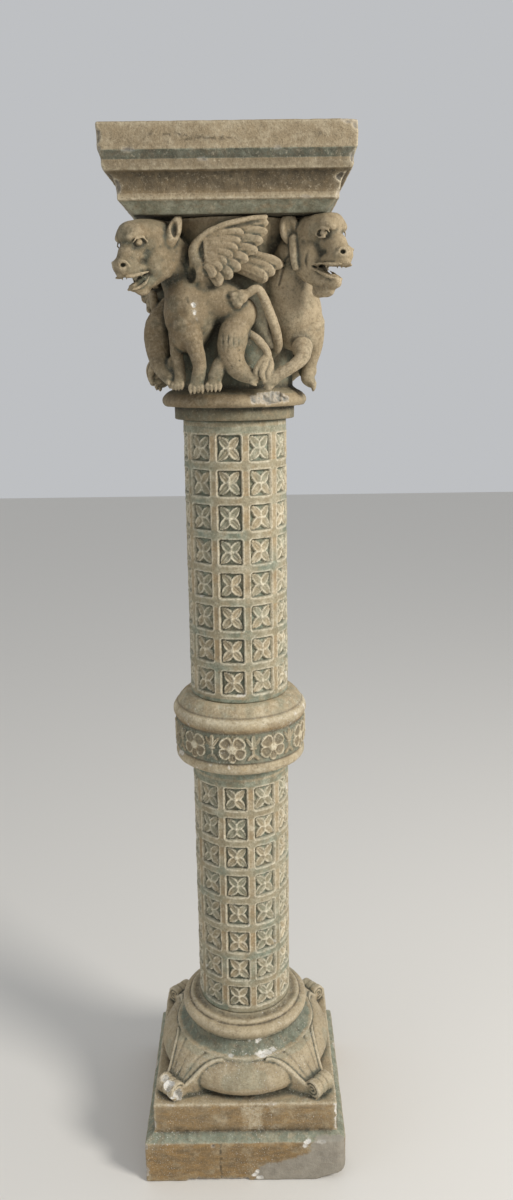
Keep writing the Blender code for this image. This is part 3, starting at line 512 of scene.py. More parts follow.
def beast(clay, nod=-8.0, round_ears=False):
    """One winged beast along the front face, its head at the left corner."""

    def grow(points, radii, blend):
        clay.add(limb(points, radii), blend)

    clay.add(ball((-54, -84, 142), (36, 38, 42)), 8)                # chest
    clay.add(ball((-58, -90, 112), (23, 29, 21)), 8)
    grow([(-50, -86, 158), (-12, -90, 154), (12, -90, 140)], [29, 26, 22], 8)         # back
    grow([(-55, -72, 158), (-66, -72, 188), (-78, -84, 212)], [32, 28, 26], 8)        # neck
    grow([(14, -92, 144), (3, -101, 114), (-1, -104, 88), (9, -105, 68), (28, -107, 58)],
         [17, 20, 17, 13, 9], 4)                                # haunch and hock
    head(clay, nod, round_ears)
    # outer foreleg
    grow([(-58, -107, 126), (-49, -112, 100), (-43, -107, 76), (-45, -103, 57)], [19, 12, 9.5, 9.5], 4)
    paw(clay, (-46, -101, 54), (-0.1, -0.75, -0.6), (1, 0, 0), 9)
    if round_ears:                                        # foreleg that crosses the corner
        grow([(-86, -94, 96), (-103, -92, 82), (-110, -74, 68), (-110, -56, 58)], [14, 9.5, 8, 8], 4)
        paw(clay, (-108, -56, 57), (-0.35, 0.75, -0.5), (0.1, 0.3, 1), 8.5)
    else:                                                 # slim foreleg, and the haunch behind it
        grow([(-72, -90, 112), (-74, -89, 92), (-71, -91, 72), (-70, -94, 58)], [12, 8.5, 7.5, 7.5], 3)
        paw(clay, (-70, -94, 56), (-0.3, -0.7, -0.6), (1, -0.3, 0), 7.5)
        grow([(-84, -46, 152), (-99, -58, 126), (-101, -64, 98), (-95, -74, 72), (-84, -86, 58)],
             [15, 19, 17, 12.5, 9], 3)
        paw(clay, (-86, -84, 57), (0.55, -0.7, -0.35), (0.8, 0.55, 0), 8.5)
        clay.add(ball((-77, -82, 74), (11, 9, 15)), 4)
    # hind foot under the haunch
    grow([(-2, -99, 76), (-14, -104, 76), (-23, -104, 61)], [12, 10.5, 10], 3)
    paw(clay, (-24, -103, 56), (-0.05, -0.75, -0.6), (1, 0, 0), 9)
    paw(clay, (20, -109, 61), (0.85, -0.35, -0.35), (0.35, 0.3, 0.85), 8)
    # tail, which curls round a hollow and ends in a tuft
    grow([(20, -98, 116), (34, -103, 107), (46, -105, 92), (46, -107, 76), (38, -108, 64)],
         [5, 5.5, 5, 6.5, 7], 2)
    clay.cut(ball((26, -112, 90), (5.5, 16, 6.5)), 2)
    for lock in ([(44, -107, 84), (38, -113, 76), (32, -115, 66), (34, -114, 56)],
                 [(47, -107, 84), (43, -114, 75), (39, -117, 64), (42, -115, 53)],
                 [(50, -105, 82), (51, -111, 72), (47, -114, 62), (50, -112, 52)]):
        grow(lock, [4, 5, 4.2, 2.2], 0.7)
    # raised limb of the next beast
    grow([(40, -48, 82), (60, -76, 93), (60, -89, 112), (52, -101, 136), (37, -108, 168), (19, -110, 163)],
         [5, 5.5, 6.5, 6.5, 6.0, 5.5], 2.5)
    paw(clay, (17, -112, 162), (-0.85, -0.3, -0.45), (-0.4, 0.2, 0.9), 8.5)
    for k in range(4):                                    # its toes, spread over the haunch
        turn = math.radians(172 + 27 * k)
        x, z = math.cos(turn), math.sin(turn)
        clay.add(limb([(14 + 3 * x, -114, 161 + 3 * z), (14 + 10 * x, -117, 161 + 10 * z),
                       (14 + 17 * x, -109, 161 + 17 * z)], [3.2, 3.9, 2.0], 3), 0.7)
    # shoulder and arm of the wing
    clay.add(ball((-34, -100, 194), (20, 18, 27)), 6)
    grow([(-36, -106, 190), (-46, -110, 216), (-32, -114, 235), (-6, -117, 247), (26, -118, 254),
          (46, -117, 256)], [11, 7.5, 5.2, 4, 3.4, 3], 5)
    clay.add(plume((-34, -107, 214), (32, -110, 236), 21, 7), 3)
    clay.add(plume((-34, -108, 204), (6, -112, 196), 18, 7), 3)
    clay.add(plume((-32, -98, 210), (34, -98, 234), 20, 10), 3)
    clay.add(ball((-20, -108, 214), (20, 9, 20)), 4)
    tips = ((50, 250), (49, 239), (43, 228), (36, 216), (24, 205), (14, 194), (3, 184), (-12, 174))
    coverts = ((18, 238), (14, 228), (10, 219), (4, 210), (-4, 201), (-10, 193), (-20, 184))
    for k, (x, z) in enumerate(tips):
        root = (-34 + 0.5 * k, -112.0 - 0.5 * k, 234 - 5.4 * k)
        clay.add(plume(root, (x, -114.5 - 0.7 * k, z), 8.6, 3.4, 0.24, 0.22, 2.0), 0.8)
    for k, (x, z) in enumerate(coverts):
        root = (-34 + 0.5 * k, -115.0 - 0.5 * k, 232 - 5.4 * k)
        clay.add(plume(root, (x, -118.5 - 0.7 * k, z), 6.6, 2.6, 0.2, 0.2, 1.0), 0.8)
    # far wing
    for k, (x, z) in enumerate(((68, 198), (58, 189), (48, 181))):
        clay.add(plume((6, -99, 214 - 8 * k), (x, -103 - k, z), 9.5, 4.5, 0.28, 0.22, 2.0), 1.0)
    # hollow behind the neck
    clay.cut(ball((-51, -114, 188), (7, 17, 10)), 3)
    # edge of the thigh: drilled holes and the hair of the hock
    for k in range(4):
        clay.cut(ball((10.5, -120.5, 93 - 4.2 * k), (2.0, 5.0, 2.1)), 0.5)
    for k in range(5):
        path = [(18 + 3 * k, -119 - 0.3 * k, 74 - 3 * k), (16 + 4 * k, -119, 64 - 3 * k),
                (19 + 4 * k, -116, 55 - 2 * k)]
        clay.cut(groove(path, [0.4, 0.9, 0.5], 5), 1.0)
    for k in range(4):                                # hair of the thigh
        path = []
        for i in range(6):
            z = 116 - 9 * i
            turn = math.radians(-132 + 21 * k + 3 * i)
            middle, back, wide = (np.interp(z, (58, 68, 88, 114), values) for values in THIGH)
            path.append((middle + wide * math.cos(turn), back + wide * math.sin(turn), z))
        clay.cut(groove(path, [0.2, 0.45, 0.5, 0.5, 0.45, 0.2], 4), 0.8)
    for k in range(5):                                # locks where the neck meets the chest
        path = [(-84 + 9 * k, -113 - 2 * k, 172 - 2 * k), (-82 + 9 * k, -118 - k, 160 - 2 * k)]
        clay.cut(groove(path, [0.7, 0.9], 2), 1.2)


def bow(start, end, bulge, count):
    """Points on a curve from start to end, without the start, that swells sideways by bulge."""
    (r0, z0), (r1, z1) = start, end
    length = math.hypot(r1 - r0, z1 - z0)
    nr, nz = -(z1 - z0) / length, (r1 - r0) / length
    out = []
    for i in range(1, count + 1):
        t = i / count
        swell = bulge * math.sin(math.pi * t) ** 0.8 if 0 < t < 1 else 0.0
        out.append((r0 + (r1 - r0) * t + nr * swell, z0 + (z1 - z0) * t + nz * swell))
    return out


def new_mesh(name, points, faces, sides=4):
    """A mesh of faces with the same number of sides, from points in millimetres."""
    mesh = bpy.data.meshes.new(name)
    mesh.vertices.add(len(points))
    mesh.vertices.foreach_set("co", (np.asarray(points) * MM).astype(np.float32).ravel())
    mesh.loops.add(len(faces) * sides)
    mesh.loops.foreach_set("vertex_index", np.asarray(faces, np.int32).ravel())
    mesh.polygons.add(len(faces))
    mesh.polygons.foreach_set("loop_start", np.arange(0, len(faces) * sides, sides, dtype=np.int32))
    mesh.polygons.foreach_set("loop_total", np.full(len(faces), sides, np.int32))
    mesh.update(calc_edges=True)
    mesh.validate()
    return mesh


def place(mesh, node, material, limit=None):
    """Puts a mesh into the scene in place of a solid of the frame, thinned to limit triangles."""
    made = bpy.data.objects.new(mesh.name, mesh)
    bpy.context.scene.collection.objects.link(made)
    mesh.calc_loop_triangles()
    if limit and len(mesh.loop_triangles) > limit:
        thin = made.modifiers.new("Thin", "DECIMATE")
        thin.ratio = limit / len(mesh.loop_triangles)
        graph = bpy.context.evaluated_depsgraph_get()
        made.data = bpy.data.meshes.new_from_object(made.evaluated_get(graph))
        made.modifiers.clear()
        bpy.data.meshes.remove(mesh)
        made.data.name = node
    made.data.materials.clear()
    made.data.materials.append(material)
    made.data.polygons.foreach_set("use_smooth", np.ones(len(made.data.polygons), bool))
    made.data.update()
    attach(made, "root")
    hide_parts(node)
    return made


def points_of(made):
    points = np.empty(len(made.data.vertices) * 3, np.float32)
    made.data.vertices.foreach_get("co", points)
    return points.reshape(-1, 3).astype(float) / MM


def paint(made, **layers):
    """Stores each layer of paint, wear, painted shade and painted highlight, from 0 to 1 at every point of the
    mesh, for its material.
    """
    layers["hollow"] = layers["hollow"] * (1 - layers["scar"])
    for name in LAYERS:
        layer = made.data.attributes.new(name, "FLOAT", "POINT")
        values = layers.get(name, 0.0) * np.ones(len(made.data.vertices))
        layer.data.foreach_set("value", np.clip(values, 0, 1).astype(np.float32))


def clay_shade_and_wear(clay, points):
    """(hollow, crest): how deep each point lies in a hollow, for painted shade, and how far it stands out on an
    edge, for painted highlight and wear.
    """
    fine, level, wide = (clay.read(clay.blurred(width), points) for width in (4.5, 9.0, 26.0))
    hollow = (0.75 * np.clip(-fine / 0.32 - 0.15, 0, 1) + 0.45 * np.clip(-level / 1.1, 0, 1)
              + 0.55 * np.clip(-wide / 3.0, 0, 1))
    return hollow, 0.7 * np.clip(fine / 0.45 - 0.1, 0, 1) + 0.5 * np.clip(level / 1.5, 0, 1)


LAYERS = ("green", "hollow", "crest", "scar", "patch", "ochre")

# Linear colours of the paint, of what shows under it, and of painted shade and grime
BEIGE = (0.44, 0.355, 0.225)
CREAM = (0.62, 0.54, 0.39)
BROWN = (0.21, 0.145, 0.075)
OCHRE = (0.34, 0.215, 0.09)
GREEN = (0.165, 0.195, 0.145)
PALE_GREEN = (0.30, 0.33, 0.255)
# near black for the painted shade in hollows and for the grime specks
SHADE_AND_GRIME = (0.045, 0.038, 0.026)
PLASTER = (0.80, 0.78, 0.73)
CEMENT = (0.36, 0.33, 0.275)


class Shader:
    """A painted stucco, put together from nodes."""

    def __init__(self, name):
        self.material = bpy.data.materials.new(name)
        self.material.use_nodes = True
        self.tree = self.material.node_tree
        self.shader = self.tree.nodes["Principled BSDF"]
        self.place = self.node("ShaderNodeTexCoord").outputs["Object"]

    def node(self, kind, **settings):
        made = self.tree.nodes.new(kind)
        for key, value in settings.items():
            setattr(made, key, value)
        return made

    def feed(self, socket, value):
        if isinstance(value, bpy.types.NodeSocket):
            self.tree.links.new(value, socket)
        elif isinstance(value, tuple):
            socket.default_value = (*value, 1.0) if len(value) == 3 and socket.type == "RGBA" else value
        else:
            socket.default_value = value

    def noise(self, size, detail=3.0, share=0.55, stretch=(1.0, 1.0, 1.0)):
        """Noise from 0 to 1 whose lumps are about size millimetres apart."""
        where = self.place
        if stretch != (1.0, 1.0, 1.0):
            move = self.node("ShaderNodeMapping")
            self.feed(move.inputs["Vector"], where)
            self.feed(move.inputs["Scale"], stretch)
            where = move.outputs["Vector"]
        made = self.node("ShaderNodeTexNoise")
        self.feed(made.inputs["Vector"], where)
        self.feed(made.inputs["Scale"], 1000.0 / size)
        self.feed(made.inputs["Detail"], detail)
        self.feed(made.inputs["Roughness"], share)
        return made.outputs["Fac"]

    def math(self, operation, a, b=0.0, clamp=False):
        made = self.node("ShaderNodeMath", operation=operation, use_clamp=clamp)
        self.feed(made.inputs[0], a)
        self.feed(made.inputs[1], b)
        return made.outputs[0]

    def spread(self, value, low, high):
        """The value taken from low..high to 0..1."""
        made = self.node("ShaderNodeMapRange", clamp=True)
        self.feed(made.inputs["Value"], value)
        self.feed(made.inputs["From Min"], low)
        self.feed(made.inputs["From Max"], high)
        return made.outputs["Result"]

    def mix(self, share, a, b, blend="MIX"):
        made = self.node("ShaderNodeMix", data_type="RGBA", blend_type=blend, clamp_factor=True)
        self.feed(made.inputs["Factor"], share)
        self.feed(made.inputs[6], a)
        self.feed(made.inputs[7], b)
        return made.outputs[2]

    def tint(self, colour, other, value, low, high, share):
        """The colour, taken up to share of the way to the other as the value goes from low to high."""
        return self.mix(self.math("MULTIPLY", self.spread(value, low, high), share), colour, other)

    def layer(self, name):
        return self.node("ShaderNodeAttribute", attribute_name=name).outputs["Fac"]

    def bands(self, spans, low, high, jitter):
        """1 within the (from, to, strength) heights in millimetres, with uneven edges."""
        split = self.node("ShaderNodeSeparateXYZ")
        self.feed(split.inputs[0], self.place)
        wobble = self.math("MULTIPLY", self.math("SUBTRACT", self.noise(9.0), 0.5), jitter * MM)
        height = self.math("ADD", split.outputs["Z"], wobble)
        ramp = self.node("ShaderNodeValToRGB")
        self.feed(ramp.inputs[0], self.spread(height, low * MM, high * MM))
        stops = [(0.0, 0.0)]
        for start, stop, strength in spans:
            a, b = (start - low) / (high - low), (stop - low) / (high - low)
            edge = 0.35 / (high - low)
            stops += [(a - edge, 0.0), (a + edge, strength), (b - edge, strength), (b + edge, 0.0)]
        line = ramp.color_ramp
        for place, value in stops[1:]:
            stop = line.elements.new(min(max(place, 0.0), 1.0))
            stop.color = (value, value, value, 1.0)
        line.elements[0].color = (0.0, 0.0, 0.0, 1.0)
        line.elements[-1].color = (stops[-1][1],) * 3 + (1.0,)
        return ramp.outputs[0]


def stucco(name, base=BEIGE, green_bands=(), ochre_bands=(), low=0.0, high=1.0, ochre_all=0.0, jitter=2.0,
           ochre=(OCHRE, BROWN), green=(GREEN, PALE_GREEN), cream=CREAM, fleck=0.15):
    """Painted stucco with patina and painted shade in its hollows, worn edges with painted highlights, stains,
    scars and fine grain.
    """
    s = Shader(name)
    cloud = s.noise(45.0, 4.0, 0.6)
    blotch = s.noise(14.0, 4.0, 0.65)
    grain = s.noise(3.2, 5.0, 0.7)
    speck = s.noise(1.3, 3.0, 0.7)
    streak = s.noise(16.0, 4.0, 0.6, (1.0, 1.0, 0.22))
    colour = s.mix(s.spread(cloud, 0.35, 0.68), base, tuple(c * 0.80 for c in base))
    colour = s.tint(colour, cream, blotch, 0.48, 0.72, 0.45)
    # brown: the stucco's ochre tone, and painted shade where a piece darkens it
    brown = s.layer("ochre")
    if ochre_bands:
        brown = s.math("MAXIMUM", brown, s.bands(ochre_bands, low, high, jitter))
    if ochre_all:
        brown = s.math("MAXIMUM", brown, ochre_all)
    brown = s.math("MULTIPLY", brown, s.spread(s.noise(22.0, 4.0, 0.6), 0.25, 0.5))
    brushed = s.noise(9.0, 3.0, 0.6, (0.35, 0.35, 1.0))
    colour = s.mix(brown, colour, s.mix(s.spread(brushed, 0.38, 0.66), *ochre))
    patina = s.layer("green")
    if green_bands:
        patina = s.math("MAXIMUM", patina, s.bands(green_bands, low, high, jitter))
    patina = s.math("MULTIPLY", patina, s.spread(s.noise(12.0, 4.0, 0.6), 0.2, 0.5))
    colour = s.mix(patina, colour, s.mix(s.spread(blotch, 0.38, 0.66), *green))
    colour = s.tint(colour, BROWN, streak, 0.5, 0.75, 0.35)
    # painted shade: the hollows are darkened towards a near black
    hollow = s.math("MULTIPLY", s.layer("hollow"), s.spread(s.noise(7.0, 3.0, 0.6), 0.12, 0.5))
    colour = s.mix(s.math("MULTIPLY", hollow, 0.85), colour, SHADE_AND_GRIME)
    # painted highlight and edge wear: crests are lightened towards cream
    crest = s.math("MULTIPLY", s.layer("crest"), s.spread(s.noise(6.0, 4.0, 0.7), 0.30, 0.56))
    colour = s.mix(s.math("MULTIPLY", crest, 0.85), colour, cream)
    colour = s.tint(colour, tuple(c * 0.45 for c in base), grain, 0.53, 0.66, 0.6)
    colour = s.tint(colour, cream, grain, 0.44, 0.28, 0.45)
    colour = s.tint(colour, SHADE_AND_GRIME, speck, 0.60, 0.70, 0.75)
    flecks = s.math("MULTIPLY", s.spread(s.noise(2.0, 2.0, 0.5), 0.64, 0.70),
                    s.math("MULTIPLY", s.spread(cloud, 0.42, 0.62), fleck))
    colour = s.mix(flecks, colour, PLASTER)
    cement = s.mix(s.spread(blotch, 0.35, 0.7), CEMENT, tuple(c * 0.72 for c in CEMENT))
    colour = s.mix(s.layer("patch"), colour, cement)
    colour = s.mix(s.layer("scar"), colour, s.mix(s.spread(grain, 0.5, 0.75), PLASTER, BEIGE))
    s.feed(s.shader.inputs["Base Color"], colour)
    s.feed(s.shader.inputs["Roughness"], s.math("ADD", s.math("MULTIPLY", grain, 0.35), 0.60))
    s.feed(s.shader.inputs["Specular IOR Level"], 0.3)
    relief = s.math("ADD", s.math("MULTIPLY", s.noise(5.0, 5.0, 0.65), 0.9), s.math("MULTIPLY", speck, 0.35))
    bump = s.node("ShaderNodeBump")
    s.feed(bump.inputs["Height"], relief)
    s.feed(bump.inputs["Strength"], 1.0)
    s.feed(bump.inputs["Distance"], 0.0016)
    s.feed(s.shader.inputs["Normal"], bump.outputs["Normal"])
    return s.material


def capital_clay():
    clay = Clay(CLAY_HALF, 0.0, CAPITAL_H, CAPITAL_STEP)
    clay.add(turned(((10, 83), (60, 84), (130, 86), (190, 92), (225, 99), (250, 108), (262, 112)),
                    20.0, CAPITAL_H + 4), 1.0)
    for first, nod in ((0, -8.0), (1, 1.0)):
        one = Clay(CLAY_HALF, 0.0, CAPITAL_H, CAPITAL_STEP)
        beast(one, nod, first == 1)
        for turn in (first, first + 2):
            clay.d = joined(clay.d, np.rot90(one.d, turn, (0, 1)), 4.0)
    neck = [(0, 60), (82, 60), (83, 45), (90, 40)]
    neck += bow((90, 40), (99.5, 34), 0.8, 3)
    neck += bow((99.5, 34), (99.5, 18.5), 4.0, 8)
    neck += [(86, 18.2), (86, 0.0), (0, 0.0)]
    clay.run(neck, 0.0, 1.5)
    clay.roughen(0.45, 9.0)
    clay.roughen(0.22, 3.6, 7.0)
    clay.wear(4.0, 0.5, 30.0)
    for k, (degrees, size) in enumerate(((-60, 13), (-67, 10), (-53, 11), (-73, 7), (-47, 7))):
        a = math.radians(degrees)
        clay.chip((105 * math.cos(a), 105 * math.sin(a), 34 - 2 * (k % 2)), (size, size, 9), 3.0 * k, 0.3, 0.9)
    for k, spot in enumerate(((-48, -121, 150), (-46, -122, 141), (-45, -123, 134))):
        clay.chip(spot, (1.8, 2.6, 2.4), 2.0 * k, 0.85, 0.8)
    for k, spot in enumerate(((92, 98, 60), (-110, 60, 25), (30, 118, 200))):
        clay.chip(spot, (5, 6, 5), 1.7 * k, 0.6)
    clay.trim(KEPT_HALF, JOINT, CAPITAL_H - JOINT)
    return clay


def cast(clay, name, node, foot, material, limit):
    """The clay as a piece of the scene that stands at foot, with its points and their (hollow, crest)."""
    points, quads = clay.mesh()
    made = place(new_mesh(name, points + (0, 0, foot), quads), node, material, limit)
    points = points_of(made) - (0, 0, foot)
    return made, points, *clay_shade_and_wear(clay, points)


def make_capital():
    clay = capital_clay()
    bands = ((CAPITAL_Z, CAPITAL_Z + 17.5, 0.6), (CAPITAL_Z + 36, CAPITAL_Z + 58, 0.4))
    # painted shade: the capital's stucco is a darker copy of the other pieces' stucco, its beige, green, cream
    # and browns all darkened
    material = stucco("Capital stucco", (0.34, 0.265, 0.16), low=CAPITAL_Z, high=ABACUS_Z, green_bands=bands,
                      green=((0.09, 0.105, 0.075), (0.17, 0.185, 0.135)), cream=(0.48, 0.39, 0.26),
                      ochre=((0.20, 0.145, 0.078), (0.14, 0.105, 0.06)))
    made, points, hollow, crest = cast(clay, "capital_visual", "capital", CAPITAL_Z, material,
                                       197000)
    x, y, z = points.T
    r = np.hypot(x, y)
    bell = smooth((104 - r) / 10) * smooth((z - 44) / 10)
    low = smooth((95 - z) / 40) * (z > 46)
    green = np.maximum(0.8 * hollow, 0.85 * bell) + 0.25 * low
    green += 0.3 * (noise(x, y, z, 26.0, 3.0) > 0.35)
    # brown: lumps of the stucco's own tone low down, and painted shade in the hollows and over the left half
    ochre = 0.45 * smooth(0.5 + noise(x, y, z, 34.0, 8.0)) * smooth((200 - z) / 60) + 0.25 * hollow
    ochre += 0.70 * smooth((50 - x) / 110)
    green += 0.30 * smooth((-70 - x) / 20) * smooth((z - 165) / 15) * smooth(0.6 + noise(x, y, z, 14.0, 1.0))
    # painted highlight: the beasts' right front is lightened as if lit, over the painted highlight and wear on
    # the outer crests
    lit = smooth((x - 25) / 30) * smooth((-y - 30) / 40) * (z < 195) * (z > 50)
    crest = crest * smooth((r - 96) / 12) + 0.5 * lit
    # hollow is painted shade in the recesses
    paint(made, green=green, hollow=hollow, crest=crest, scar=clay.scarred(points), ochre=ochre)


def make_abacus():
    clay = Clay(CLAY_HALF, 0.0, ABACUS_H)
    line = [(0, 100.8), (157.6, 100.8), (158.3, 99.8), (158.0, 69.6), (157.0, 69.0), (154.4, 60.5)]
    line += [(154.0, 58.6)]
    line += bow((154.0, 58.6), (152.2, 47.4), 1.0, 4)
    line += [(150.6, 46.9)]
    for i in range(1, 11):
        a = math.pi / 2 * (1 - i / 10)
        line.append((138.6 + 12.0 * (1 - math.cos(a)), 23 + 23.9 * math.sin(a)))
    line += [(138.3, 22.6), (138.3, 15.9), (134.8, 14.4), (121.3, 0.2), (0, 0.2)]
    clay.run(line, 1.2, 0.5)
    clay.roughen(0.5, 11.0, 3.0)
    clay.roughen(0.28, 4.0, 1.0)
    clay.wear(4.5, 0.85, 24.0, 2.0)
    chips = [((-158, -157, 84), (5, 5, 8)), ((-158, -156, 70), (4, 4, 4)), ((157, -158, 96), (6, 5, 7)),
             ((146, -158, 100), (9, 3, 4)), ((155, -155, 58), (6, 6, 6)), ((139, -139, 18), (6, 6, 8)),
             ((138, -138, 40), (6, 6, 5)), ((-120, -158.5, 69), (8, 2.5, 2)), ((60, -158.5, 69), (5, 2, 2)),
             ((-30, -155.5, 58), (6, 2, 2)), ((95, -138.8, 16), (7, 2, 2)), ((158, 40, 99), (3, 9, 4)),
             ((-158, 70, 70), (3, 8, 4)), ((-139, -139, 30), (5, 5, 9)), ((20, 158, 98), (9, 3, 4)),
             ((-100, 155, 60), (7, 3, 3))]
    for k, (spot, size) in enumerate(chips):
        clay.chip(spot, size, 2.3 * k, 0.15)
    for k, (start, end) in enumerate((((-96, 87), (-30, 84)), ((-52, 80), (6, 81)), ((118, 99), (112, 84)))):
        path = []
        for i in range(12):
            t = i / 11
            z = start[1] + (end[1] - start[1]) * t + 1.6 * float(noise(t * 9, k * 3.0, 0.0, 1.6))
            path.append((start[0] + (end[0] - start[0]) * t, -158.6, z))
        clay.crack(path, 0.35)
    clay.trim(KEPT_HALF, JOINT, ABACUS_H - JOINT)
    bands = ((ABACUS_Z - 1, ABACUS_Z + 14.5, 0.75), (ABACUS_Z + 59, ABACUS_Z + 69.3, 0.95))
    # painted shade: the cavetto and the band over it are darkened brown
    dark = ((ABACUS_Z + 22.5, ABACUS_Z + 47.5, 0.75), (ABACUS_Z + 47.8, ABACUS_Z + 58.5, 0.3))
    # painted shade: the abacus's stucco is a darker copy, with darker browns for its shaded bands
    material = stucco("Abacus stucco", (0.36, 0.285, 0.18), low=ABACUS_Z - 2, high=ABACUS_Z + 102,
                      green_bands=bands, ochre_bands=dark, ochre_all=0.15, fleck=0.0,
                      ochre=((0.155, 0.105, 0.05), (0.11, 0.075, 0.036)),
                      green=((0.145, 0.165, 0.12), (0.31, 0.335, 0.26)))
    made, points, hollow, crest = cast(clay, "abacus_visual", "abacus", ABACUS_Z, material,
                                       96000)
    x, y, z = points.T
    # painted shade in the hollows, none on the top face, and more at the lower corners, on the chamfer and in
    # the cavetto
    hollow = hollow * smooth((100.4 - z) / 0.8)
    corner = smooth((np.minimum(np.abs(x), np.abs(y)) - 135) / 20) * smooth((60 - z) / 20)
    chamfer = 0.75 * smooth(z - 58.5) * smooth(69.5 - z)
    cavetto = 0.45 * smooth((z - 24) / 3) * smooth((48 - z) / 3)
    cavetto = cavetto + 0.28 * smooth((z - 48) / 2) * smooth((59 - z) / 2)
    hollow = np.maximum(0.9 * hollow + 0.3 * corner + chamfer + cavetto, clay.cracked(points))
    paint(made, hollow=hollow, crest=crest, scar=clay.scarred(points))


# A claw's leaf runs along the diagonal, from the torus out to its scroll
CLAW_START = 102.0
CLAW_STOP = 167.6
CLAW_ROLL_Z = 144.5


def claw_width(p):
    """(how far along the leaf, half its width there) at p along the diagonal."""
    t = np.clip((p - CLAW_START) / (CLAW_STOP - CLAW_START), 0, 1)
    return t, 58.0 - 41.0 * t**0.75


def claw_top(p, q):
    """The height of a claw's leaf at p along the diagonal and q across it."""
    t, half = claw_width(p)
    z = 188.5 - 41.0 * smooth((np.sqrt(p * p + q * q) - 114.0) / (CLAW_STOP - 114.0))
    side = np.abs(q) / half
    z = z - 1.6 * side**2
    edge = half - np.abs(q)
    z = z + 1.7 * hump(edge - 2.4, 1.9) - 1.3 * hump(edge - 7.0, 2.2)
    return z - 2.2 * hump(side - 0.5, 0.07) * (1 - t) - 1.4 * hump(q, 2.2) * t


def claw(turn):
    """The leaf and the scroll of a corner claw, as shapes for the clay."""
    ca, sa = math.cos(turn), math.sin(turn)

    def leaf(x, y, z):
        p, q = x * ca + y * sa, y * ca - x * sa
        across = np.abs(q) - claw_width(p)[1]
        ends = np.maximum(CLAW_START - p, p - 168.0)
        outside = np.maximum(np.maximum(z - claw_top(p, q), 128.0 - z), np.maximum(across, ends))
        return outside.astype(np.float32)

    def roll(x, y, z):
        p, q, rise = x * ca + y * sa - CLAW_STOP, y * ca - x * sa, z - CLAW_ROLL_Z
        d, a = np.sqrt(p * p + rise**2), np.arctan2(rise, p)
        face = 18.0 + 1.4 * np.cos(2 * math.pi * (d / 5.6 - a / (2 * math.pi))) * smooth((14.5 - d) / 1.5)
        waist = 14.6 - 1.4 * hump(np.abs(q) - 5.0, 2.0) - 0.6 * hump(q, 1.6)
        return np.maximum(d - waist, np.abs(q) - face).astype(np.float32)

    x, y = CLAW_STOP * ca, CLAW_STOP * sa
    return (((-160, -160, 126), (160, 160, 196), leaf), ((x - 26, y - 26, 128), (x + 26, y + 26, 162), roll))


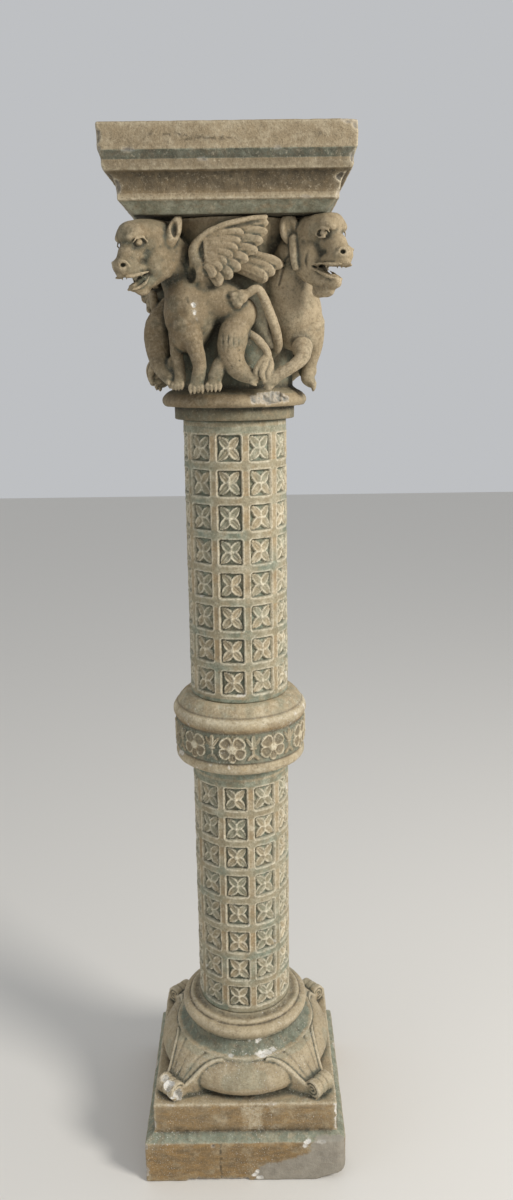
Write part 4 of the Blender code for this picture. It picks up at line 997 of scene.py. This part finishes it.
def base_clay():
    clay = Clay(CLAY_HALF, 0.0, BASE_TOP)
    plinth = [(0, 131.0), (142.6, 131.0), (143.8, 129.8), (143.8, 82.2), (144.6, 81.3), (157.4, 71.2),
              (157.8, 69.8), (157.8, 0.3), (0, 0.3)]
    clay.run(plinth, 1.5, 0.5)
    tori = [(0, 242.3), (75, 242.3)]
    tori += bow((75, 242.3), (85, 238.6), -1.6, 4)
    tori += bow((85.0, 238.6), (91.0, 234.6), 2.0, 5)
    tori += [(91.3, 233.4)]
    tori += bow((91.6, 233.6), (98.8, 214.5), 8.2, 10)
    tori += [(97.5, 213.8), (97.5, 210.6), (95.5, 210.0)]
    tori += bow((95.5, 210.0), (108.5, 189.6), -5.0, 7)
    tori += [(113.5, 189.0), (113.8, 184.2), (112, 183.6)]
    for degrees in (74, 60, 46, 32, 18, 6, -8, -24, -40, -56):
        a = math.radians(degrees)
        rise = 32.0 * math.sin(a) / math.sin(math.radians(74)) if a > 0 else 25.0 * math.sin(a)
        tori.append((105 + 34.8 * math.cos(a), 152 + rise))
    tori += [(112, 130), (0, 130)]
    clay.run(tori, 0.0, 0.5)
    for k in range(4):
        for shape in claw(math.radians(45 + 90 * k)):
            clay.add(shape, 1.5)
    clay.roughen(0.55, 12.0, 1.0)
    clay.roughen(0.25, 4.0, 5.0)
    clay.wear(4.0, 0.5, 26.0, 6.0)
    x, y, z = clay.x[:, None, None], clay.x[None, :, None], clay.z[None, None, :]
    # the right corner at the front is worn round, and its bottom edge rises
    corner = np.sqrt(np.maximum(x - 144, 0) ** 2 + np.maximum(-144 - y, 0) ** 2) - 13.5
    there = (x > 144) & (y < -144)
    clay.d = np.where(there & (z < 84), np.maximum(clay.d, corner), clay.d)
    lift = np.maximum(x - 110, 0) * 0.36 * smooth((-90 - y) / 50) - z
    clay.d = np.maximum(clay.d, lift + 0.8 * noise(x, y, z, 7.0)).astype(np.float32)
    # the crumbled bottom edge at the front
    for k in range(9):
        clay.chip((-86 + 10.5 * k, -158.5, 1.0), (7.5, 4.5, 3.6 + 2.0 * math.sin(1.7 * k) ** 2), 1.3 * k, 0.25)
    clay.chip((-51, -158.5, 66), (3.2, 4, 3.2), 4.0, 0.2)
    crack = ((-39, 71), (-39.6, 58), (-39, 47), (-40.2, 36), (-39.5, 24), (-38.6, 12), (-39.4, 2))
    clay.crack([(x, -158.4, z) for x, z in crack], 0.7)
    white = [((27, -106, 192), (9, 7, 4), 0.95), ((22, -96, 207), (5, 5, 4), 0.8),
             ((95.6, -158, 70.5), (4.5, 3, 3), 0.9), ((99, -157, 74), (3, 3, 4), 0.9),
             ((93, -158.5, 65), (2.5, 2.5, 3), 0.8), ((14, -158.5, 11), (3.5, 2.5, 3), 0.9),
             ((18, -158.5, 17), (3, 2.5, 4), 0.9), ((22, -158.5, 6), (5, 2.5, 3), 0.7),
             ((36, -101, 191), (6, 4, 2.5), 0.8),
             ((-22, -107, 190), (4, 3, 2), 0.6), ((46, -96, 192), (4, 4, 2), 0.7),
             ((8, -99, 208), (4, 3, 2), 0.6),
             ((144.5, -144.5, 120), (4, 4, 9), 0.8), ((144.5, -144.5, 101), (3, 4, 5), 0.7),
             ((-144.5, -144.5, 95), (3, 3, 6), 0.5), ((-158, -158, 20), (4, 4, 8), 0.4),
             ((144.5, -144.5, 90), (4, 4, 7), 0.5), ((-122, -129, 154), (11, 8, 8), 1.0),
             ((-113, -131, 143), (10, 8, 7), 0.95), ((-106, -128, 136), (7, 7, 5), 0.9),
             ((-128, -117, 158), (6, 8, 5), 0.5), ((-158, -158, 66), (4, 4, 7), 0.4),
             ((-158, 20, 70), (4, 9, 4), 0.4), ((60, 158, 4), (12, 5, 5), 0.3),
             ((158, 60, 70), (4, 7, 4), 0.4), ((-144, 144, 130), (6, 6, 5), 0.5),
             ((-118, -144.5, 131), (7, 3, 2.5), 0.3), ((40, -144.5, 131), (8, 3, 2.0), 0.2),
             ((118, -157.8, 71), (7, 3, 2), 0.3)]
    for k, (spot, size, bare) in enumerate(white):
        clay.chip(spot, size, 1.9 * k, bare, 0.6)
    for k in range(7):
        scratch = [(74 + 3.2 * k, -144.2, 114 - 0.6 * k), (77.5 + 3.2 * k, -144.2, 104.5)]
        clay.cut(limb(scratch, [0.9, 1.1], 1), 0.4)
    clay.trim(KEPT_HALF, JOINT, BASE_TOP - JOINT)
    return clay


def make_base():
    clay = base_clay()
    bands = ((71, 81.5, 0.9), (184, 189, 0.45), (189, 210.5, 0.95), (210.5, 214, 0.5), (239, 243, 0.3))
    ochre = ((-5, 71, 1.0), (82, 131, 0.85), (131, 150, 0.30))
    material = stucco("Base stucco", low=-6, high=244, green_bands=bands, ochre_bands=ochre, jitter=3.0,
                      fleck=0.75)
    made, points, hollow, crest = cast(clay, "base_visual", "plinth_and_base", 0.0, material,
                                       158000)
    x, y, z = points.T
    front = (y < -150) & (z < 88)
    side = (x > 150) & (z < 84)
    edge = np.interp(x, (14, 14.1, 22, 51, 75, 101, 103, 112, 156), (-5, 0, 28, 35, 42, 51, 68, 77, 84))
    edge = edge + 3.0 * noise(x, y, z, 11.0, 2.0) + 1.3 * noise(x, y, z, 3.5, 4.0)
    patch = np.where(front, smooth((edge - z) / 1.5), 0.0)
    round_side = 66 + 6 * noise(x, y, z, 30.0) - 0.25 * np.maximum(y + 60, 0)
    patch = np.maximum(patch, np.where(side & (y <= 90), smooth((round_side - z) / 2.0), 0.0))
    claws = smooth((hollow - 0.25) / 0.5) * ((z > 131) & (z < 190))
    green = 0.75 * claws + 0.35 * (noise(x, y, z, 28.0, 6.0) > 0.4) * (z > 131)
    crest = crest * np.where(z < 84, 0.45, 1.0)
    rubbed = smooth((noise(x, 0 * y, z, 17.0, 12.0) + 0.15) / 0.5) * (z > 84) * (z < 126) * (y < -140)
    crest = crest + 0.75 * rubbed * smooth((62 - np.abs(x - 8)) / 40)
    # painted shade in the hollows, weaker on the cement patch, and dark cracks
    hollow = np.maximum(hollow * np.where(patch > 0.5, 0.4, 1.0), clay.cracked(points))
    paint(made, hollow=hollow, crest=crest, green=green, scar=clay.scarred(points), patch=patch * 0.9)


def level_lines(spans):
    """Positions from (start, stop, count) spans, each without its stop, and the last stop."""
    out = []
    for start, stop, count in spans:
        out += list(np.linspace(start, stop, count, endpoint=False))
    return np.array(out + [spans[-1][1]])


def petal(u, v, degrees, length, width):
    """(height, cover, rim) of a pointed leaf with a raised rim and a rib, from the middle to the corner."""
    a = math.radians(degrees)
    t = (u * math.cos(a) + v * math.sin(a)) / length
    s = v * math.cos(a) - u * math.sin(a)
    inside = np.clip(t, 0, 1)
    half = width * np.sin(math.pi * np.clip(0.08 + 0.92 * inside**0.9, 0, 1)) ** 0.75
    edge = smooth((half - np.abs(s)) / 1.7) * (t > 0) * (t < 1)
    share = np.abs(s) / np.maximum(half, 1.0)
    dish = 0.55 * (1 - smooth((share - 0.35) / 0.4)) - 0.34 * hump(s, 0.95)
    height = edge * (1.0 - dish * smooth(inside / 0.25) * smooth((1 - inside) / 0.2))
    return height, edge, edge * hump(share - 0.72, 0.2)


# (degrees, length, half width, height) of a coffer's four leaves
LEAVES = ((132, 23.5, 7.4, 5.6), (-45, 23.5, 7.6, 5.6), (-134, 23.5, 8.0, 5.0), (46, 22.5, 7.4, 4.6))


def drum_surface(height, foot, above, seed):
    """Angles and heights, and the radius and layers at their crossings, of a drum with coffers of flowers."""
    rng = np.random.default_rng(seed)
    half_u, half_v = COFFER_W / 2, COFFER_H / 2
    cell = 2 * math.pi * SHAFT_R / COLUMNS
    across = level_lines(((-cell / 2, -half_u - 0.6, 4), (-half_u - 0.6, -half_u + 0.5, 1),
                          (-half_u + 0.5, half_u - 0.5, 24), (half_u - 0.5, half_u + 0.6, 1),
                          (half_u + 0.6, cell / 2, 4)))[:-1]
    column = np.repeat(np.arange(COLUMNS), len(across))
    u = np.tile(across, COLUMNS)
    angles = LATTICE_TURN + column * 2 * math.pi / COLUMNS + u / SHAFT_R
    gap = ROW_PITCH - COFFER_H
    spans = [(0.0, foot - 0.6, max(2, int(foot / 1.5)))]
    for i in range(ROWS):
        z0 = foot + i * ROW_PITCH
        z1 = z0 + COFFER_H
        spans += [(z0 - 0.6, z0 + 0.5, 1), (z0 + 0.5, z1 - 0.5, 23), (z1 - 0.5, z1 + 0.6, 1)]
        last = (z1 + 0.6, height, max(4, int(above / 1.5)))
        spans.append((z1 + 0.6, z1 + gap - 0.6, 7) if i < ROWS - 1 else last)
    heights = level_lines(spans)
    row = np.clip(((heights - foot + gap / 2) // ROW_PITCH).astype(int), 0, ROWS - 1)
    v = heights - foot - row * ROW_PITCH - half_v
    U, V = np.meshgrid(u, v)
    A, Z = np.meshgrid(angles, heights)
    X, Y = SHAFT_R * np.cos(A), SHAFT_R * np.sin(A)
    which = row[:, None] * COLUMNS + column[None, :]
    vary = rng.random((ROWS * COLUMNS, 12))[which]
    wobble = 0.55 * rough(X, Y, Z, 8.0, seed)

    def cloud(scale, shift):
        return noise(X, Y, Z, scale, seed + shift)

    inside = np.minimum(half_u - np.abs(U), half_v - np.abs(V)) + wobble
    corner = np.hypot(np.maximum(np.abs(U) - half_u + 3, 0), np.maximum(np.abs(V) - half_v + 3, 0))
    inside = np.minimum(inside, 3.0 - corner + 0.3 * wobble)
    pit = smooth(inside / 1.1 + 0.5)
    petals = np.zeros_like(U)
    cover = np.zeros_like(U)
    rims = np.zeros_like(U)
    shift_u, shift_v = 1.6 * (vary[..., 0] - 0.5), 1.6 * (vary[..., 1] - 0.5)
    for k, (degrees, length, width, top) in enumerate(LEAVES):
        worn = 0.78 + 0.3 * vary[..., 2 + k]
        rise, edge, rim = petal(U - shift_u, V - shift_v, degrees, length, width)
        petals = np.maximum(petals, rise * top * worn)
        rims = np.maximum(rims, rim)
        cover = np.maximum(cover, edge * np.clip(worn, 0, 1))
    reach = np.sqrt((U - shift_u) ** 2 + (V - shift_v) ** 2)
    petals = np.maximum(petals, 5.8 * np.sqrt(np.clip(1 - (reach / 3.9) ** 2, 0, 1)))
    cover = np.maximum(cover, smooth((4.4 - reach) / 1.2))
    petals = petals + 0.35 * rough(X, Y, Z, 5.0, seed + 3)
    raised = 0.7 * hump(inside + 1.4, 1.1)
    broken = smooth((cloud(13.0, 9) - 0.52) / 0.1) * smooth((2.6 + inside) / 2.0) * (1 - pit)
    radius = SHAFT_R - 0.7 + (1 - pit) * (raised + 0.45 * rough(X, Y, Z, 12.0, seed + 1) - 1.6 * broken)
    radius = radius + pit * (-COFFER_DEEP + np.minimum(petals, COFFER_DEEP + 0.2))
    radius = radius - 0.7 * smooth((1.4 - np.minimum(np.abs(Z), np.abs(Z - height))) / 1.4)
    crossing = np.abs(V) > half_v - 1
    rib_h, rib_v = (1 - pit) * crossing, (1 - pit) * ~crossing
    floor = pit * (1 - cover)
    layers = {
        "green": ((1 - pit) * 0.62 * smooth(0.15 + 1.5 * cloud(42.0, 2)) + 0.32 * rib_h
                  + floor * (0.95 + 0.15 * cloud(30.0, 5))
                  + 0.6 * pit * cover * smooth(0.45 + 1.2 * cloud(34.0, 6))),
        # painted shade: coffer floors darken towards their walls, round each leaf and round the boss
        "hollow": (0.7 * floor * smooth((2.6 - inside) / 2.4) + pit * hump(cover - 0.3, 0.26) * (cover > 0.03)
                   + 0.5 * floor * smooth((3.2 - reach) / 2 + 0.5)),
        # painted highlight: leaf rims and tops, the middle of the boss and the rib edges are lightened
        "crest": (pit * (0.10 * smooth((petals - 2.9) / 1.0) + 1.1 * rims + 0.8 * (reach < 2.2))
                  + 1.2 * (1 - pit) * hump(inside + 1.3, 0.9)),
        "ochre": (0.5 * rib_v * smooth(0.6 + cloud(18.0, 7)) + 0.30 * rib_h * smooth(0.3 + cloud(18.0, 8))
                  + 0.35 * pit * (reach < 3.6) * (vary[..., 9] > 0.45)),
        "scar": 0.75 * broken * (vary[..., 8] > 0.8),
    }
    return angles, heights, radius, layers


def lathe(name, node, material, angles, heights, radius, layers, floor_z):
    """A closed wall from a grid of radii, with flat ends."""
    rows, count = radius.shape
    A = np.broadcast_to(angles, radius.shape)
    Z = np.broadcast_to(heights[:, None], radius.shape) if heights.ndim == 1 else heights
    points = np.stack([radius * np.cos(A), radius * np.sin(A), Z + floor_z], -1).reshape(-1, 3)
    low, high = len(points), len(points) + 1
    points = np.vstack([points, (0, 0, Z[0].mean() + floor_z), (0, 0, Z[-1].mean() + floor_z)])
    i, k = np.meshgrid(np.arange(rows - 1), np.arange(count), indexing="ij")
    after = (k + 1) % count
    a, b, c, d = i * count + k, i * count + after, (i + 1) * count + after, (i + 1) * count + k
    halves = np.concatenate([np.stack([a, b, c], -1).reshape(-1, 3), np.stack([a, c, d], -1).reshape(-1, 3)])
    k = np.arange(count)
    ends = np.concatenate([np.stack([np.full(count, low), (k + 1) % count, k], -1),
                           np.stack([np.full(count, high), (rows - 1) * count + k,
                                     (rows - 1) * count + (k + 1) % count], -1)])
    made = place(new_mesh(name, points, np.concatenate([halves, ends]), 3), node, material)
    paint(made, **{key: np.append(value.ravel(), (0.0, 0.0)) for key, value in layers.items()})


def make_drum(node, floor_z, height, foot, above, seed, spans):
    """A drum with rings of green paint at the (from, to, strength) heights over its foot."""
    angles, heights, radius, layers = drum_surface(height, foot, above, seed)
    bands = tuple((floor_z + start, floor_z + stop, strength) for start, stop, strength in spans)
    # the brighter cream serves the painted highlight on rims and rib edges, and the lighter blotches
    material = stucco(node.replace("_", " ").capitalize() + " stucco", low=floor_z - 3,
                      high=floor_z + height + 3, green_bands=bands, cream=(0.80, 0.73, 0.56))
    lathe(node + "_visual", node, material, angles, heights, radius, layers, floor_z)


# (degrees, reach, half width) of the lobes of the frieze's flowers, and (foot, the same) of its lilies' leaves
LOBES = ((44, 22.5, 12.4), (-44, 22.5, 12.4), (118, 21.5, 11.4), (-118, 21.5, 11.4), (180, 20.5, 7.5))
LILY = ((1, 0, 21.5, 4.4), (2, 33, 19.5, 3.3), (2, -33, 19.5, 3.3),
        (3, 180, 18.0, 2.6), (-8, 136, 13.5, 3.0), (-8, -136, 13.5, 3.0))
FRIEZE_R = 98.3


def along_across(u, v, degrees, reach):
    """(share of the reach along a leaf, distance across it) for a leaf turned degrees from upright."""
    a = math.radians(degrees)
    return (u * math.sin(a) + v * math.cos(a)) / reach, u * math.cos(a) - v * math.sin(a)


def make_ring():
    outline = [(78.5, 0.3), (79.5, 0.8), (84.5, 2.2), (86.5, 5.6)]
    outline += bow((86.5, 6.0), (98.0, 24.6), -8.5, 12) + [(98.2, 25.0), (FRIEZE_R, 25.4)]
    outline += [(FRIEZE_R, 25.4 + 47.0 * k / 34) for k in range(1, 35)]
    outline += bow((98.2, 73.0), (97.6, 95.2), -5.4, 16) + [(97.0, 96.2)]
    outline += bow((96.6, 96.4), (83.2, 111.2), -1.4, 10) + [(82.6, 111.7)]
    line = np.array(outline)
    steps = np.concatenate([[0], np.cumsum(np.hypot(*np.diff(line, axis=0).T))])
    at = np.concatenate([np.arange(0, steps[-1], 1.05), steps[-1:]])
    r0, z0 = np.interp(at, steps, line[:, 0]), np.interp(at, steps, line[:, 1])
    slope_r, slope_z = np.gradient(r0), np.gradient(z0)
    count = 520
    angles = LATTICE_TURN + np.arange(count) * 2 * math.pi / count
    A, R = np.meshgrid(angles, r0)
    Z = np.broadcast_to(z0[:, None], R.shape)
    X, Y = R * np.cos(A), R * np.sin(A)
    wall = smooth(Z - 25.6) * smooth(72.6 - Z)
    turn = (A - LATTICE_TURN) / (2 * math.pi / COLUMNS)
    column = np.round(turn)
    u = (turn - column) * 2 * math.pi / COLUMNS * FRIEZE_R
    v = Z - 49.0
    vary = np.random.default_rng(5).random((COLUMNS, 6))[column.astype(int) % COLUMNS]
    d = np.sqrt(u * u + v * v)

    def cloud(scale, shift):
        return noise(X, Y, Z, scale, shift)

    rise = np.zeros_like(R)
    for degrees, reach, half in LOBES:
        t, s = along_across(u, v, degrees, reach)
        inner = np.clip(t, 0, 1)
        width = half * np.clip(inner * 1.5, 0, 1) ** 0.7 * np.sqrt(np.clip(1 - inner**5, 0, 1))
        edge = smooth((width - np.abs(s)) / 1.5) * (t > 0)
        share = np.abs(s) / np.maximum(width, 1.0)
        dish = 0.62 * (1 - smooth((share - 0.5) / 0.35))
        dish = dish * smooth((0.94 - inner) / 0.16) * smooth((inner - 0.2) / 0.2)
        rise = np.maximum(rise, edge * 3.9 * (1 - dish))
    boss = 4.4 * np.sqrt(np.clip(1 - (d / 5.0) ** 2, 0, 1)) - 0.9 * hump(d - 2.2, 0.8)
    rise = np.maximum(rise, boss * (d < 5))
    lily_u = u - np.sign(u) * math.pi / COLUMNS * FRIEZE_R
    for foot, degrees, reach, half in LILY:
        t, s = along_across(lily_u, v - foot, degrees, reach)
        width = half * np.sqrt(np.clip(0.35 + t, 0, 1)) * np.sqrt(np.clip(1 - np.clip(t, 0, 1) ** 3, 0, 1))
        leaf = smooth((width - np.abs(s)) / 1.2 + 0.2) * (t > -0.05) * (t < 1)
        rise = np.maximum(rise, leaf * (3.4 - 1.1 * hump(s, 1.0)))
    rise = np.maximum(rise, 3.6 * smooth((1.7 - np.abs(v - 1.5)) / 0.9) * smooth(5.4 - np.abs(lily_u)))
    rise = rise * wall * (0.75 + 0.35 * vary[..., 0])
    chips = smooth((cloud(11.0, 21.0) - 0.56) / 0.1) * (1 - wall)
    push = rise + 0.35 * rough(X, Y, Z, 9.0, 4.0) + 0.15 * rough(X, Y, Z, 3.5, 9.0)
    push = push - 1.3 * chips - 0.5 * (1 - wall)
    length = np.hypot(slope_r, slope_z)
    R = R + push * (slope_z / length)[:, None]
    Z = np.clip(Z - push * (slope_r / length)[:, None], 0.2, 111.8)
    shown = smooth(rise / 1.3)
    # the underside of the top moulding, where brown stands for painted shade
    under = smooth((84 - Z) / 8) * smooth((Z - 73) / 3)
    joints = hump(Z - 73, 1.8) + hump(Z - 25.2, 1.6) + 0.8 * hump(Z - 96.3, 1.3)
    layers = {
        "green": (0.85 * wall * (1 - shown) + 0.35 * wall * shown * smooth(0.3 + cloud(20.0, 5.0))
                  + 0.35 * smooth((Z - 97) / 2) * smooth(0.4 + cloud(7.0, 6.0))
                  + 0.5 * smooth((5.5 - Z) / 2) + 0.25 * smooth(cloud(20.0, 3.0))),
        # painted shade: the frieze's ground, round and inside the flowers, and dark lines where the mouldings
        # meet
        "hollow": (0.3 * wall * (1 - shown) + 0.85 * joints
                   + 0.95 * wall * hump(shown - 0.35, 0.3) * (shown > 0.03)
                   + 0.6 * wall * smooth((2.6 - rise) / 0.9) * shown),
        # painted highlight: the flowers' tops, the upper face of the top moulding and the bulge of the lower
        # one
        "crest": (1.1 * wall * smooth((rise - 2.9) / 0.5) + 0.5 * smooth((Z - 84) / 6) * smooth((95 - Z) / 3)
                  + 0.35 * hump(Z - 14, 6) * (1 - wall)),
        # brown: painted shade under the top moulding, and the stucco's own tone low down
        "ochre": 0.75 * under + 0.35 * smooth((23 - Z) / 6) * smooth(0.5 + cloud(15.0, 1.0)),
        "scar": 0.5 * chips * (cloud(40.0, 2.0) > 0.2),
    }
    # the brighter cream serves the painted highlight and the lighter blotches
    material = stucco("Ring stucco", cream=(0.74, 0.67, 0.50), fleck=0.6)
    lathe("ring_visual", "ring", material, angles, Z, R, layers, RING_Z)


def make_floor():
    side = 8.0
    mesh = bpy.data.meshes.new("floor")
    corners = [(-side, -side, 0), (side, -side, 0), (side, side, 0), (-side, side, 0)]
    mesh.from_pydata(corners, [], [(0, 1, 2, 3)])
    floor = bpy.data.objects.new("floor", mesh)
    bpy.context.scene.collection.objects.link(floor)
    pale = bpy.data.materials.new("Pale floor")
    pale.use_nodes = True
    shader = pale.node_tree.nodes["Principled BSDF"]
    shader.inputs["Base Color"].default_value = (0.72, 0.70, 0.66, 1.0)
    shader.inputs["Roughness"].default_value = 0.9
    mesh.materials.append(pale)


def add_light(name, place, target, size, power, colour):
    lamp = bpy.data.lights.new(name, "AREA")
    lamp.shape = "DISK"
    lamp.size = size
    lamp.energy = power
    lamp.color = colour
    made = bpy.data.objects.new(name, lamp)
    made.location = place
    made.rotation_mode = "QUATERNION"
    made.rotation_quaternion = (Vector(target) - Vector(place)).to_track_quat("-Z", "Y")
    bpy.context.scene.collection.objects.link(made)


# The photograph's camera: focal length and frame in its pixels, sensor in millimetres, angles in degrees
FOCAL = 955.0
FRAME_HEIGHT = 1200.0
SENSOR = 36.0
EYE = (0.0282, -1.40625, 1.2555)
TILT = 13.87
ROLL = -0.75


def make_stage():
    make_floor()
    world = bpy.data.worlds.new("Studio")
    world.use_nodes = True
    sky = world.node_tree.nodes["Background"]
    sky.inputs["Color"].default_value = (0.92, 0.94, 0.97, 1.0)
    sky.inputs["Strength"].default_value = 0.56
    bpy.context.scene.world = world
    add_light("Key", (2.2, -1.5, 2.3), (0, 0, 0.8), 0.9, 82.0, (1.0, 0.97, 0.92))
    add_light("Fill", (-2.4, -1.6, 1.6), (0, 0, 0.8), 2.0, 7.0, (0.95, 0.98, 1.0))
    bpy.context.scene.view_settings.view_transform = "Standard"
    eye = bpy.data.cameras.new("Camera")
    eye.sensor_width = SENSOR
    eye.lens = FOCAL / FRAME_HEIGHT * SENSOR
    eye.dof.use_dof = False
    eye.clip_start = 0.05
    camera = bpy.data.objects.new("Camera", eye)
    camera.matrix_world = (Matrix.Translation(EYE)
                           @ Matrix.Rotation(math.pi / 2 - math.radians(TILT), 4, "X")
                           @ Matrix.Rotation(math.radians(ROLL), 4, "Z"))
    bpy.context.scene.collection.objects.link(camera)
    bpy.context.scene.camera = camera


make_capital()
make_abacus()
make_base()
make_drum("lower_drum", LOWER_DRUM_Z, 414.0, 10.7, 24.4, 3, ((-1, 4.5, 0.5), (392, 401, 0.8), (405, 415, 0.95)))
make_drum("upper_drum", UPPER_DRUM_Z, 410.7, 12.4, 19.4, 4,
          ((-1, 6.5, 0.95), (393.7, 403.7, 0.7), (407.2, 411.7, 0.8)))
make_ring()
make_stage()
